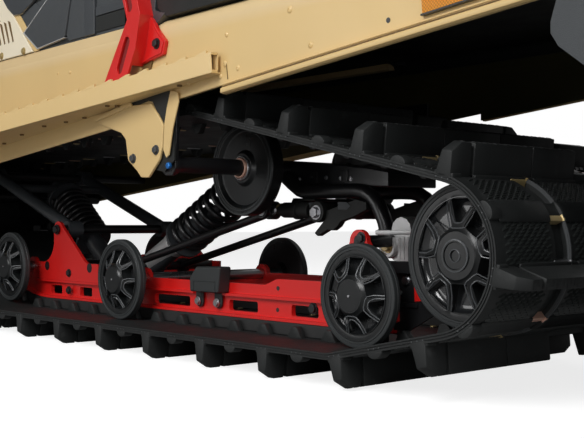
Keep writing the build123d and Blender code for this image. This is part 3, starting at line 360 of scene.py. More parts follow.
class Bench:
    """Workbench that models one mesh at a time with Blender's operators."""

    doubles = 1e-6
    rounding_steps = 2
    sharp = 32.0
    rod_sharp = 60.0
    wire_sides = 12
    turn_steps = 32

    @staticmethod
    def clear() -> None:
        """Deselects everything."""
        bpy.ops.object.select_all(action="DESELECT")

    @staticmethod
    def hold(piece: Piece) -> None:
        """Selects one piece alone and makes it active."""
        Bench.clear()
        piece.select_set(True)
        bpy.context.view_layer.objects.active = piece

    @staticmethod
    def settle() -> Piece:
        """Puts the new piece's place, turn and size into its mesh."""
        bpy.ops.object.transform_apply(location=True, rotation=True, scale=True)
        return bpy.context.object

    @staticmethod
    def edit(piece: Piece, *steps: Callable[[], object]) -> None:
        """Runs edit-mode operators on a whole mesh.

        Args:
            piece: The mesh.
            *steps: The operators, each run with everything selected.
        """
        Bench.hold(piece)
        bpy.ops.object.mode_set(mode="EDIT")
        for step in steps:
            bpy.ops.mesh.select_all(action="SELECT")
            step()
        bpy.ops.object.mode_set(mode="OBJECT")

    @staticmethod
    def tidy(piece: Piece) -> None:
        """Merges doubles, drops loose edges and turns all faces outwards."""
        Bench.edit(piece, lambda: bpy.ops.mesh.remove_doubles(threshold=Bench.doubles),
                   bpy.ops.mesh.delete_loose, lambda: bpy.ops.mesh.normals_make_consistent(inside=False))

    @staticmethod
    def bevel(piece: Piece, width: float, angle: float = sharp) -> Piece:
        """Rounds a piece's sharp edges.

        Args:
            piece: The piece.
            width: Width of the rounding in metres.
            angle: Edges sharper than this are rounded.

        Returns:
            The piece.
        """
        Bench.hold(piece)
        modifier = piece.modifiers.new("bevel", "BEVEL")
        modifier.width = width
        modifier.segments = Bench.rounding_steps
        modifier.limit_method = "ANGLE"
        modifier.angle_limit = math.radians(angle)
        bpy.ops.object.modifier_apply(modifier=modifier.name)
        return piece

    @staticmethod
    def block(centre: Point, size: Point, bevel: float = 0.0) -> Piece:
        """Makes a rounded block.

        Args:
            centre: Its middle.
            size: Its three lengths.
            bevel: Rounding of its edges.

        Returns:
            The block.
        """
        Bench.clear()
        bpy.ops.mesh.primitive_cube_add(size=1.0, location=centre, scale=size)
        piece = Bench.settle()
        return Bench.bevel(piece, bevel) if bevel else piece

    @staticmethod
    def strip(low: Point, high: Point, cuts: int) -> Piece:
        """Makes a flat box that is cut across its length so that it can be bent.

        Args:
            low: Its lowest corner.
            high: Its highest corner.
            cuts: Number of its lengths.

        Returns:
            The strip.
        """
        Bench.clear()
        centre = ((low[0] + high[0]) / 2, (low[1] + high[1]) / 2, low[2])
        bpy.ops.mesh.primitive_grid_add(x_subdivisions=cuts, y_subdivisions=1, size=1.0, location=centre)
        bpy.context.object.scale = (high[0] - low[0], high[1] - low[1], 1.0)
        piece = Bench.settle()
        rise = (0.0, 0.0, high[2] - low[2])
        Bench.edit(piece, lambda: bpy.ops.mesh.extrude_region_move(TRANSFORM_OT_translate={"value": rise}))
        Bench.tidy(piece)
        return piece

    @staticmethod
    def plate(corners: Sequence[Vector], depth: Vector, bevel: float = 0.0) -> Piece:
        """Makes a flat plate from its outline.

        Args:
            corners: The outline's corners in order.
            depth: Direction and length of its thickness.
            bevel: Rounding of its edges.

        Returns:
            The plate.
        """
        Bench.clear()
        bpy.ops.mesh.primitive_circle_add(vertices=len(corners), fill_type="NGON")
        piece = bpy.context.object
        for vertex, corner in zip(piece.data.vertices, corners):
            vertex.co = corner
        Bench.edit(piece, lambda: bpy.ops.mesh.extrude_region_move(TRANSFORM_OT_translate={"value": tuple(depth)}))
        Bench.tidy(piece)
        return Bench.bevel(piece, bevel) if bevel else piece

    @staticmethod
    def lathe(centre: Vector, outline: Outline, steps: int) -> Piece:
        """Makes a turned piece about a crossways axis from a closed outline.

        Args:
            centre: A point on its axis.
            outline: Its corners as millimetres from the axis and along it.
            steps: Number of sides.

        Returns:
            The turned piece.
        """
        Bench.clear()
        axis = Vector((0, 1, 0))
        side = axis.orthogonal().normalized()
        bpy.ops.mesh.primitive_circle_add(vertices=len(outline), fill_type="NOTHING")
        piece = bpy.context.object
        for vertex, (radius, along) in zip(piece.data.vertices, outline):
            vertex.co = centre + axis * along / 1000.0 + side * radius / 1000.0
        Bench.edit(piece, lambda: bpy.ops.mesh.spin(steps=steps,
                                                    angle=math.tau, center=tuple(centre), axis=tuple(axis)))
        Bench.tidy(piece)
        return piece

    @staticmethod
    def rod(start: Vector, end: Vector, radius: float, sides: int, bevel: float = 0.0) -> Piece:
        """Makes a straight round rod.

        Args:
            start: One end.
            end: The other end.
            radius: Its radius in metres.
            sides: Number of sides.
            bevel: Rounding of its ends.

        Returns:
            The rod.
        """
        Bench.clear()
        span = end - start
        turn = span.to_track_quat("Z", "Y").to_euler()
        bpy.ops.mesh.primitive_cylinder_add(vertices=sides, radius=radius, depth=span.length,
                                            location=(start + end) / 2, rotation=turn)
        piece = Bench.settle()
        return Bench.bevel(piece, bevel, Bench.rod_sharp) if bevel else piece

    @staticmethod
    def tube(path: Sequence[Vector], radius: float, rings: int) -> Piece:
        """Makes a round bar or bead that follows a path.

        Args:
            path: Points that it goes through.
            radius: Its radius in metres.
            rings: Roundness of its section.

        Returns:
            The bar as a mesh.
        """
        Bench.clear()
        bpy.ops.curve.primitive_bezier_curve_add()
        bar = bpy.context.object
        bar.data.splines.clear()
        spline = bar.data.splines.new("POLY")
        spline.points.add(len(path) - 1)
        for point, place in zip(spline.points, path):
            point.co = (*place, 1.0)
        bar.data.bevel_depth = radius
        bar.data.bevel_resolution = rings
        bar.data.use_fill_caps = True
        bpy.ops.object.convert(target="MESH")
        piece = bpy.context.object
        Bench.tidy(piece)
        return piece

    @staticmethod
    def coil(start: Vector, end: Vector, radius: float, wire: float, turns: int) -> Piece:
        """Makes a coil spring.

        Args:
            start: Middle of its first turn.
            end: Middle of its last turn.
            radius: Radius of the wire's centreline in metres.
            wire: Radius of the wire.
            turns: Number of turns.

        Returns:
            The spring.
        """
        Bench.clear()
        bpy.ops.mesh.primitive_circle_add(vertices=Bench.wire_sides, radius=wire, location=(radius, 0.0, 0.0),
                                          rotation=(math.pi / 2, 0.0, 0.0))
        piece = Bench.settle()
        screw = piece.modifiers.new("turns", "SCREW")
        screw.steps = screw.render_steps = Bench.turn_steps
        screw.iterations = turns
        screw.screw_offset = (end - start).length / turns
        bpy.ops.object.modifier_apply(modifier=screw.name)
        Bench.edit(piece, lambda: bpy.ops.mesh.fill_holes(sides=0))
        Bench.tidy(piece)
        turn = (end - start).to_track_quat("Z", "Y").to_matrix().to_4x4()
        piece.data.transform(Matrix.Translation(start) @ turn)
        return piece

    @staticmethod
    def copy(piece: Piece, place: Matrix) -> Piece:
        """Copies a piece with its own mesh.

        Args:
            piece: The piece.
            place: Where the copy goes, from where the piece is.

        Returns:
            The copy.
        """
        made = bpy.data.objects.new(piece.name, piece.data.copy())
        bpy.context.scene.collection.objects.link(made)
        made.data.transform(place)
        if place.determinant() < 0.0:
            made.data.flip_normals()
        return made

    @staticmethod
    def scatter(piece: Piece, places: Iterable[Matrix]) -> list[Piece]:
        """Copies a piece to many places and removes the first one.

        Args:
            piece: The piece, modelled at the origin.
            places: Where its copies go.

        Returns:
            The copies.
        """
        made = [Bench.copy(piece, place) for place in places]
        bpy.data.objects.remove(piece)
        return made

    @staticmethod
    def join(pieces: Sequence[Piece]) -> Piece:
        """Joins pieces into one mesh.

        Args:
            pieces: The pieces.

        Returns:
            The joined piece.
        """
        Bench.hold(pieces[0])
        for piece in pieces:
            piece.select_set(True)
        if len(pieces) > 1:
            bpy.ops.object.join()
        return bpy.context.object

    @staticmethod
    def mirrored(pieces: Sequence[Piece]) -> list[Piece]:
        """Adds the right-hand copies of left-hand pieces.

        Args:
            pieces: The pieces on the left.

        Returns:
            The pieces of both sides.
        """
        return [*pieces, *(Bench.copy(piece, FLIP) for piece in pieces)]


@dataclass
class Shop:
    """Where finished pieces are dressed and handed over."""

    packed: dict
    finishes: dict[str, bpy.types.Material]
    weighed: int = 40000
    weld: float = 1e-5
    flat: float = 0.6
    smooth: float = 40.0

    def slot_of(self, node: str) -> str:
        """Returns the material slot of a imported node."""
        return next(part["material_slot"] for part in self.packed["record"]["subparts"] if part["node"] == node)

    def dress_nodes(self) -> None:
        """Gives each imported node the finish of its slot."""
        for name, node in self.packed["nodes"].items():
            node.data.materials.clear()
            node.data.materials.append(self.finishes[self.slot_of(name)])
            log.info("dressed %s", name)

    def deliver(self, pieces: Sequence[Piece], name: str, finish: str, slot: str = "", replaces: Sequence[str] = (),
                angle: float = 35.0, body: str = "root") -> Piece:
        """Joins pieces, dresses them and lets them ride on a body.

        Args:
            pieces: The pieces.
            name: Name of the joined piece.
            finish: Name of its finish.
            slot: Not used; the material slot that it belongs to, where it isn't the finish's own.
            replaces: Nodes that it stands for.
            angle: Edges flatter than this look smooth.
            body: The body that it rides on.

        Returns:
            The finished piece.
        """
        slot = slot or finish
        piece = Bench.join(pieces)
        piece.name = piece.data.name = name
        piece.data.materials.clear()
        piece.data.materials.append(self.finishes[finish])
        Bench.hold(piece)
        bpy.ops.object.shade_smooth_by_angle(angle=math.radians(angle))
        if len(piece.data.polygons) < self.weighed:
            weighted = piece.modifiers.new("weighted", "WEIGHTED_NORMAL")
            weighted.keep_sharp = True
            bpy.ops.object.modifier_apply(modifier=weighted.name)
        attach(piece, body)
        if replaces:
            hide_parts(*replaces)
        log.info("%s: %d faces", name, len(piece.data.polygons))
        return piece

    def soften(self, node: str, width: float) -> Piece:
        """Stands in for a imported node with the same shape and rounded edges.

        Args:
            node: The node.
            width: Rounding in millimetres.

        Returns:
            The finished piece.
        """
        source = self.packed["nodes"][node]
        piece = bpy.data.objects.new(f"{node}_rounded", source.data.copy())
        bpy.context.scene.collection.objects.link(piece)
        Bench.edit(piece, lambda: bpy.ops.mesh.remove_doubles(threshold=self.weld),
                   lambda: bpy.ops.mesh.dissolve_limited(angle_limit=math.radians(self.flat)))
        Bench.bevel(piece, width / 1000.0)
        return self.deliver([piece], f"{node}_rounded", self.slot_of(node), replaces=[node], angle=self.smooth)


@dataclass(frozen=True)
class Slab:
    """Upright plate: its side view, its right and left faces and its rounding, in millimetres."""

    corners: Outline
    right: float
    left: float
    rounding: float = 0.0

    def build(self) -> Piece:
        """Models the plate."""
        corners = [spot(x, self.right, z) for x, z in self.corners]
        return Bench.plate(corners, Vector((0, (self.left - self.right) / 1000, 0)), self.rounding / 1000)


@dataclass(frozen=True)
class Bar:
    """Straight round bar between two places, each ahead, to the left and up, in millimetres."""

    start: Point
    end: Point
    radius: float
    sides: int = 24
    rounding: float = 0.0

    def build(self) -> Piece:
        """Models the bar."""
        return Bench.rod(spot(*self.start), spot(*self.end), self.radius / 1000, self.sides, self.rounding / 1000)


@dataclass(frozen=True)
class Bolt:
    """Washer and bevelled head that point to the left, with the height of the face under them."""

    ahead: float
    face: float
    up: float
    radius: float
    tall: float = 5.0
    sides: int = 6

    def build(self) -> Piece:
        """Models the washer and the head."""
        x, y, z = self.ahead, self.face, self.up
        washer = Bar((x, y - 0.5, z), (x, y + 1.4, z), 1.35 * self.radius, 28, 0.4)
        head = Bar((x, y + 1.0, z), (x, y + self.tall, z), self.radius, self.sides, 0.6)
        return Bench.join([washer.build(), head.build()])


@dataclass(frozen=True)
class Ring:
    """Turned piece about a crossways axis, its outline as distance from the axis and to the left."""

    place: Point
    outline: Outline
    steps: int = 48

    def build(self) -> Piece:
        """Models the turned piece."""
        return Bench.lathe(spot(*self.place), self.outline, self.steps)


@dataclass(frozen=True)
class Trim:
    """Small pieces that are joined under one name, with the slot where it isn't the finish's own."""

    name: str
    finish: str
    parts: tuple[Slab | Bar | Bolt | Ring, ...]
    slot: str = ""
    replaces: tuple[str, ...] = ()
    angle: float = 35.0


@dataclass
class Assembly:
    """Sub-assembly that hands its pieces to the shop."""

    shop: Shop

    def pair(self, name: str, finish: str, pieces: Sequence[Piece],
             slot: str = "", replaces: Sequence[str] = (), angle: float = 35.0) -> None:
        """Delivers left-hand pieces with their right-hand copies.

        Args:
            name: Name of the joined piece.
            finish: Name of its finish.
            pieces: The pieces on the left.
            slot: The material slot that it belongs to, where it isn't the finish's own.
            replaces: Nodes that it stands for.
            angle: Edges flatter than this look smooth.
        """
        self.shop.deliver(Bench.mirrored(pieces), name, finish, slot, replaces, angle)

    def trim(self, trims: Iterable[Trim]) -> None:
        """Models trims on the left and delivers them for both sides."""
        for t in trims:
            self.pair(t.name, t.finish, [part.build() for part in t.parts], t.slot, t.replaces, t.angle)


@dataclass
class Track(Assembly):
    """Belt with windows, clips, tall lugs, edge knobs and drive lugs, wrapped round its wheels.

    Sizes are in millimetres. Circles are the wheels that the belt goes round, as place along the
    machine, height above the ground and radius. Flat pieces lie along X at the belt's middle line.
    A block of a lug has its right and left ends, its height, its rake and its share of thickness.
    """

    half_width: float = 254.0
    belt: float = 9.0
    rows: int = 27
    first_lug: float = 140.5
    lug_tall: float = 39.0
    lug_base: float = 24.0
    lug_tip: float = 13.0
    lug_foot: float = 5.0
    lug_shoulder: float = 0.71
    lug_taper: float = 0.8
    end_blocks: tuple[Block, ...] = ((219, 254, 39, 17, 1), (212, 220, 35, 0, 0.7), (236, 253, 3.4, 0, 1.25))
    odd_blocks: tuple[Block, ...] = ((164, 254, 32, 17, 1), (150, 165, 12, 0, 0.8))
    even_block: Block = (-76, 9, 9, 0, 0.8)
    odd_stretches: Outline = ((100.8, 213), (-20, 99.4), (-151, -20.8))
    even_stretches: Outline = ((100.8, 213), (8, 99.4), (-213, -75))
    lug_rib: Pair = (2.6, 1.3)
    end_grip: Pair = (221, 236)
    window: Pair = (115, 142)
    bar_at_lug: float = 0.10
    bar_between: float = 0.08
    edge_layers: Outline = ((0, 2), (3.6, 5.4), (7, 9))
    lips: tuple[Four, ...] = ((-3.6, 0.6, 7, 10.2), (-2.6, -0.4, 9, 11.4))
    scale_gap: Pair = (0.0032, 0.0012)
    scale_rows: int = 6
    scale_starts: Pair = (0.105, -0.455)
    lug_rounding: float = 0.0014
    grip: Point = (0.007, 0.0030, 0.0010)
    grip_pitch: float = 6.5
    grip_shifts: tuple[float, ...] = (0.0022, -0.0019, 0.0008)
    clip_place: Pair = (0.083, 0.062)
    scale_pitch: Pair = (4.1, 11.6)
    scale_fields: tuple[tuple[float, int], ...] = ((-110, 18), (150, 7), (-243, 7))
    scale_wedge: Outline = ((0, -0.3), (0.5, 1.5), (2.7, -0.3))
    knobs: tuple[Four, ...] = ((237, 254, 12.5, 9), (142, 238, 15, 4.6), (-115, 111, 15, 4.6))
    knob_sunk: float = 0.4
    knob_rounding: float = 0.0009
    drive: Outline = ((-16, 1), (16, 1), (6.5, -14.5), (4.5, -16), (-4.5, -16), (-6.5, -14.5))
    drive_start: float = 151.0
    drive_wide: float = 0.011
    drive_rounding: float = 0.0015
    clip_centre: Point = (0.0, 0.1305, 0.0)
    clip_size: Point = (0.008, 0.032, 0.0122)
    clip_rounding: float = 0.0022
    clip_lip: Pair = (0.114, 0.0059)
    clip_lip_radius: float = 0.0021
    rod_ends_at: tuple[float, ...] = (-0.009, 0.0, 0.009)
    rod_span: Pair = (0.2524, 0.2545)
    rod_up: float = 0.0002
    rod_radius: float = 0.0009
    clip_colours: tuple[str, ...] = ("bronze", "copper", "brass", "steel", "brass", "copper", "steel", "brass")
    circles: tuple[Point, ...] = ((-690, 176, 89.3),
                                  (-204, 304, 76.3), (959, 288, 88.3), (420, 448, 400), (-510.5, 118.5, 70.5))

    def runs(self) -> list[float]:
        """Finds the directions of the straight runs between the circles.

        Returns:
            Their angles.
        """
        angles = []
        for i, (x, z, r) in enumerate(self.circles):
            x2, z2, r2 = self.circles[(i + 1) % len(self.circles)]
            angles.append(math.atan2(z2 - z, x2 - x) - math.asin((r - r2) / math.hypot(x2 - x, z2 - z)))
        return angles

    def stretches(self) -> list[tuple[float, float, float, float, float]]:
        """Splits the belt's middle line into arcs and straight runs.

        Returns:
            Each one's length, start or centre, first angle and radius.
        """
        angles = self.runs()
        half = self.belt / 2
        found = []
        for i, (x, z, r) in enumerate(self.circles):
            come = angles[i - 1]
            leave = come - (come - angles[i]) % math.tau
            radius = r + half
            found.append(((come - leave) * radius, x, z, come, radius))
            x2, z2, r2 = self.circles[(i + 1) % len(self.circles)]
            start = (x - radius * math.sin(leave), z + radius * math.cos(leave))
            end = (x2 - (r2 + half) * math.sin(leave), z2 + (r2 + half) * math.cos(leave))
            found.append((math.dist(start, end), *start, leave, 0))
        return found

    def length(self) -> float:
        """Returns the length of the belt's middle line."""
        return sum(stretch[0] for stretch in self.stretches())

    def at(self, row: float) -> Matrix:
        """Finds the frame at one place along the loop.

        Args:
            row: Lug pitches from the first row of lugs.

        Returns:
            A matrix for a flat piece that is modelled at the origin.
        """
        found, total = self.stretches(), self.length()
        s = (total - found[-1][0] - self.first_lug + row * total / self.rows) % total
        for length, x, z, heading, radius in found:
            if s <= length:
                break
            s -= length
        if radius:
            heading -= s / radius
            x, z = x - radius * math.sin(heading), z + radius * math.cos(heading)
        else:
            x, z = x + s * math.cos(heading), z + s * math.sin(heading)
        cos, sin = math.cos(heading), math.sin(heading)
        return Matrix(((cos, 0, -sin, x / 1000), (0, 1, 0, 0), (sin, 0, cos, z / 1000), (0, 0, 0, 1)))

    def bend(self, flat: Piece) -> list[Piece]:
        """Wraps one flat copy for every lug pitch and removes the flat piece.

        Args:
            flat: One pitch of a piece, modelled flat about the origin.

        Returns:
            The wrapped copies.
        """
        pitch = self.length() / self.rows
        bent = []
        for row in range(self.rows):
            made = Bench.copy(flat, Matrix.Identity(4))
            places: dict[float, Matrix] = {}
            for vertex in made.data.vertices:
                x = vertex.co.x
                if x not in places:
                    places[x] = self.at(row + x * 1000 / pitch)
                vertex.co = places[x] @ Vector((0, vertex.co.y, vertex.co.z))
            bent.append(made)
        bpy.data.objects.remove(flat)
        return bent

    def point(self, along: float, across: float, above: float) -> Vector:
        """Turns a flat place above the belt's inner face into metres from its middle line."""
        return Vector((along / 1000, across / 1000, (above - self.belt / 2) / 1000))

    def flat(self, s0: float, s1: float, y0: float, y1: float, h0: float, h1: float, cuts: int = 24) -> Piece:
        """Makes a flat strip of one lug pitch, in millimetres along, across and above the inner face."""
        half = self.belt / 2
        return Bench.strip((s0 / 1000, y0 / 1000, (h0 - half) / 1000),
                           (s1 / 1000, y1 / 1000, (h1 - half) / 1000), cuts)

    def belt_segment(self) -> Piece:
        """Models one lug pitch of the belt, flat.

        Returns:
            The segment.
        """
        inner, outer = self.window
        edge, pitch = self.half_width, self.length() / self.rows
        ends = (-pitch / 2, pitch / 2)
        middle = self.flat(*ends, -inner, inner, 0, self.belt)
        left = [self.flat(*ends, outer, edge - 1.5, 0, self.belt), self.flat(*ends, inner - 1, outer + 1, 0, 1.2)]
        left += [self.flat(*ends, edge - 2, edge, low, high) for low, high in self.edge_layers]
        for low, high in ((-self.bar_at_lug, self.bar_at_lug),
                          (-0.5, self.bar_between - 0.5), (0.5 - self.bar_between, 0.5)):
            left.append(self.flat(low * pitch, high * pitch, inner, outer, 0, self.belt, 6))
        return Bench.join([middle, *Bench.mirrored(left)])

    def window_lips(self) -> Piece:
        """Models the raised lips along the inner side of one pitch's windows, flat.

        Returns:
            The lips of both sides.
        """
        inner, pitch, left = self.window[0], self.length() / self.rows, []
        for low, high in ((-0.49 + self.bar_between, -self.bar_at_lug), (self.bar_at_lug, 0.49 - self.bar_between)):
            for right, edge, bottom, top in self.lips:
                left.append(self.flat(low * pitch, high * pitch, inner + right, inner + edge, bottom, top, 8))
        return Bench.join(Bench.mirrored(left))

    def scales(self) -> Piece:
        """Models the small raised scales that cover one pitch of the belt's outer face, flat.

        Returns:
            The scales of both sides and the middle.
        """
        step, across = self.scale_pitch
        fields = []
        for y0, columns in self.scale_fields:
            corners = [self.point(s, y0, self.belt + h) for s, h in self.scale_wedge]
            cell = Bench.plate(corners, Vector((-self.scale_gap[0], across / 1000 - self.scale_gap[1], 0)))
            for count, shift in ((columns, (0, across / 1000, 0)),
                                 (2, (step / 1000, across / 2000, 0)), (self.scale_rows, (2 * step / 1000, 0, 0))):
                repeat = cell.modifiers.new("repeat", "ARRAY")
                repeat.use_relative_offset, repeat.use_constant_offset = False, True
                repeat.count, repeat.constant_offset_displace = count, shift
                Bench.hold(cell)
                bpy.ops.object.modifier_apply(modifier=repeat.name)
            fields.append(cell)
        pitch = self.length() / self.rows / 1000
        halves = [Matrix.Translation((share * pitch, 0, 0)) for share in self.scale_starts]
        return Bench.join(Bench.scatter(Bench.join(fields), halves))

    def lug_block(self, y0: float, y1: float, tall: float, end: float = 0.0, thin: float = 1.0) -> Piece:
        """Models one stretch of a lug, tapered to its tip.

        Args:
            y0: Its right end.
            y1: Its left end.
            tall: Its height above the belt.
            end: Rake of its left end, 0 for an upright one.
            thin: Share of the full thickness.

        Returns:
            The block.
        """
        foot, top, base = self.lug_foot, self.belt + tall, self.lug_base / 2
        corners = [(y0, foot), (y1, foot), (y1, self.belt + self.lug_shoulder * tall), (y1 - end, top), (y0, top)]
        if not end:
            corners = [(y0, foot), (y1, foot), (y1, top), (y0, top)]
        piece = Bench.plate([self.point(-base, y, h) for y, h in corners], Vector((2 * base / 1000, 0, 0)))
        for vertex in piece.data.vertices:
            share = (vertex.co.z * 1000 - self.belt / 2) / self.lug_tall
            taper = 1.0 - self.lug_tip / self.lug_base
            vertex.co.x *= thin * (1.0 - taper * max(0.0, min(1.0, share)) ** self.lug_taper)
        return Bench.bevel(piece, self.lug_rounding)

    def lug(self, odd: bool) -> Piece:
        """Models one row of lugs.

        Args:
            odd: Whether it is of the second kind, whose low part lies at the right.

        Returns:
            The row, at the middle of its pitch.
        """
        left = [self.lug_block(*block) for block in self.end_blocks]
        pieces = list(left)
        if odd:
            right = [self.lug_block(*block) for block in self.odd_blocks]
            for piece in right:
                pieces += Bench.scatter(piece, [FLIP])
        else:
            pieces += [Bench.copy(piece, FLIP) for piece in left]
            pieces.append(self.lug_block(*self.even_block))
        stretches = self.odd_stretches if odd else self.even_stretches
        tall, (rib, thick) = self.lug_tall, self.lug_rib
        for low, high in stretches:
            pieces += [self.lug_block(low, high, tall), self.lug_block(low, high, rib, thin=thick)]
        for low, high in (*stretches, self.end_grip):
            count = int((high - low) / self.grip_pitch)
            for i in range(count):
                y = low + (i + 0.5) * (high - low) / count
                place = (self.grip_shifts[i % 3], y / 1000, (self.belt / 2 + tall) / 1000)
                pieces.append(Bench.block(place, self.grip))
        return Bench.join(pieces)

    def knob(self) -> Piece:
        """Models the half-round knob on the belt's edge between two lugs and its low band across.

        Returns:
            The knobs and bands of both sides.
        """
        made, sunk = [], self.belt - self.knob_sunk
        turns = [math.pi * i / 12 for i in range(13)]
        for y0, y1, wide, tall in self.knobs:
            corners = [self.point(wide * math.cos(a), y0, sunk + tall * math.sin(a)) for a in turns]
            made.append(Bench.plate(corners, Vector((0, (y1 - y0) / 1000, 0)), self.knob_rounding))
        return Bench.join(Bench.mirrored([Bench.join(made)]))

    def drive_lugs(self) -> Piece:
        """Models the drive lugs of both sides, under the belt."""
        corners = [self.point(s, self.drive_start, h) for s, h in self.drive]
        piece = Bench.plate(corners, Vector((0, self.drive_wide, 0)), self.drive_rounding)
        return Bench.join(Bench.mirrored([piece]))

    def clips(self) -> Piece:
        """Models the metal clips round the bars between two windows.

        Returns:
            The clips of both sides.
        """
        bar = Bench.block(self.clip_centre, self.clip_size, self.clip_rounding)
        ends = [Vector((side * self.clip_size[0] / 2, *self.clip_lip)) for side in (-1, 1)]
        lip = Bench.rod(*ends, self.clip_lip_radius, 10)
        return Bench.join(Bench.mirrored([Bench.join([bar, lip])]))

    def rod_ends(self) -> Piece:
        """Models the ends of the belt's cross rods, three at each edge."""
        dots = []
        for x in self.rod_ends_at:
            start, end = (Vector((x, y, self.rod_up)) for y in self.rod_span)
            dots.append(Bench.rod(start, end, self.rod_radius, 8))
        return Bench.join(Bench.mirrored([Bench.join(dots)]))

    def build(self) -> None:
        """Wraps everything round the loop."""
        deliver = self.shop.deliver
        belts = self.bend(self.belt_segment())
        # scales in the lightened rubber that paints their highlights
        deliver(self.bend(self.scales()), "track_scales", "scales", "track_rubber", angle=20)
        # lips painted pale as a highlight on the windows' edges
        deliver(self.bend(self.window_lips()), "track_lips", "pale_rubber", "track_rubber")
        even = [self.at(row) for row in range(0, self.rows, 2)]
        odd = [self.at(row) for row in range(1, self.rows, 2)]
        between = [self.at(row + 0.5) for row in range(self.rows)]
        quarters = [self.at(row + share) for row in range(self.rows) for share in (0.25, 0.75)]
        lugs = Bench.scatter(self.lug(False), even) + Bench.scatter(self.lug(True), odd)
        lugs += Bench.scatter(self.knob(), between) + Bench.scatter(self.drive_lugs(), quarters)
        deliver(belts + lugs, "track_tread", "track_rubber", replaces=["track"])
        places: dict[str, list[Matrix]] = {colour: [] for colour in self.clip_colours}
        for half in range(2 * self.rows):
            side = 1.0 if half % 8 in (4, 5, 6) else -1.0
            colour = self.clip_colours[half % len(self.clip_colours)]
            places[colour].append(self.at(half / 2 + side * self.clip_place[half % 2]))
        for colour, ends in places.items():
            deliver(Bench.scatter(self.clips(), ends), f"track_clips_{colour}", colour, "steel")
        dots = Bench.scatter(self.rod_ends(), even + odd + between)
        deliver(dots, "track_rod_ends", "pale_rubber", "track_rubber")


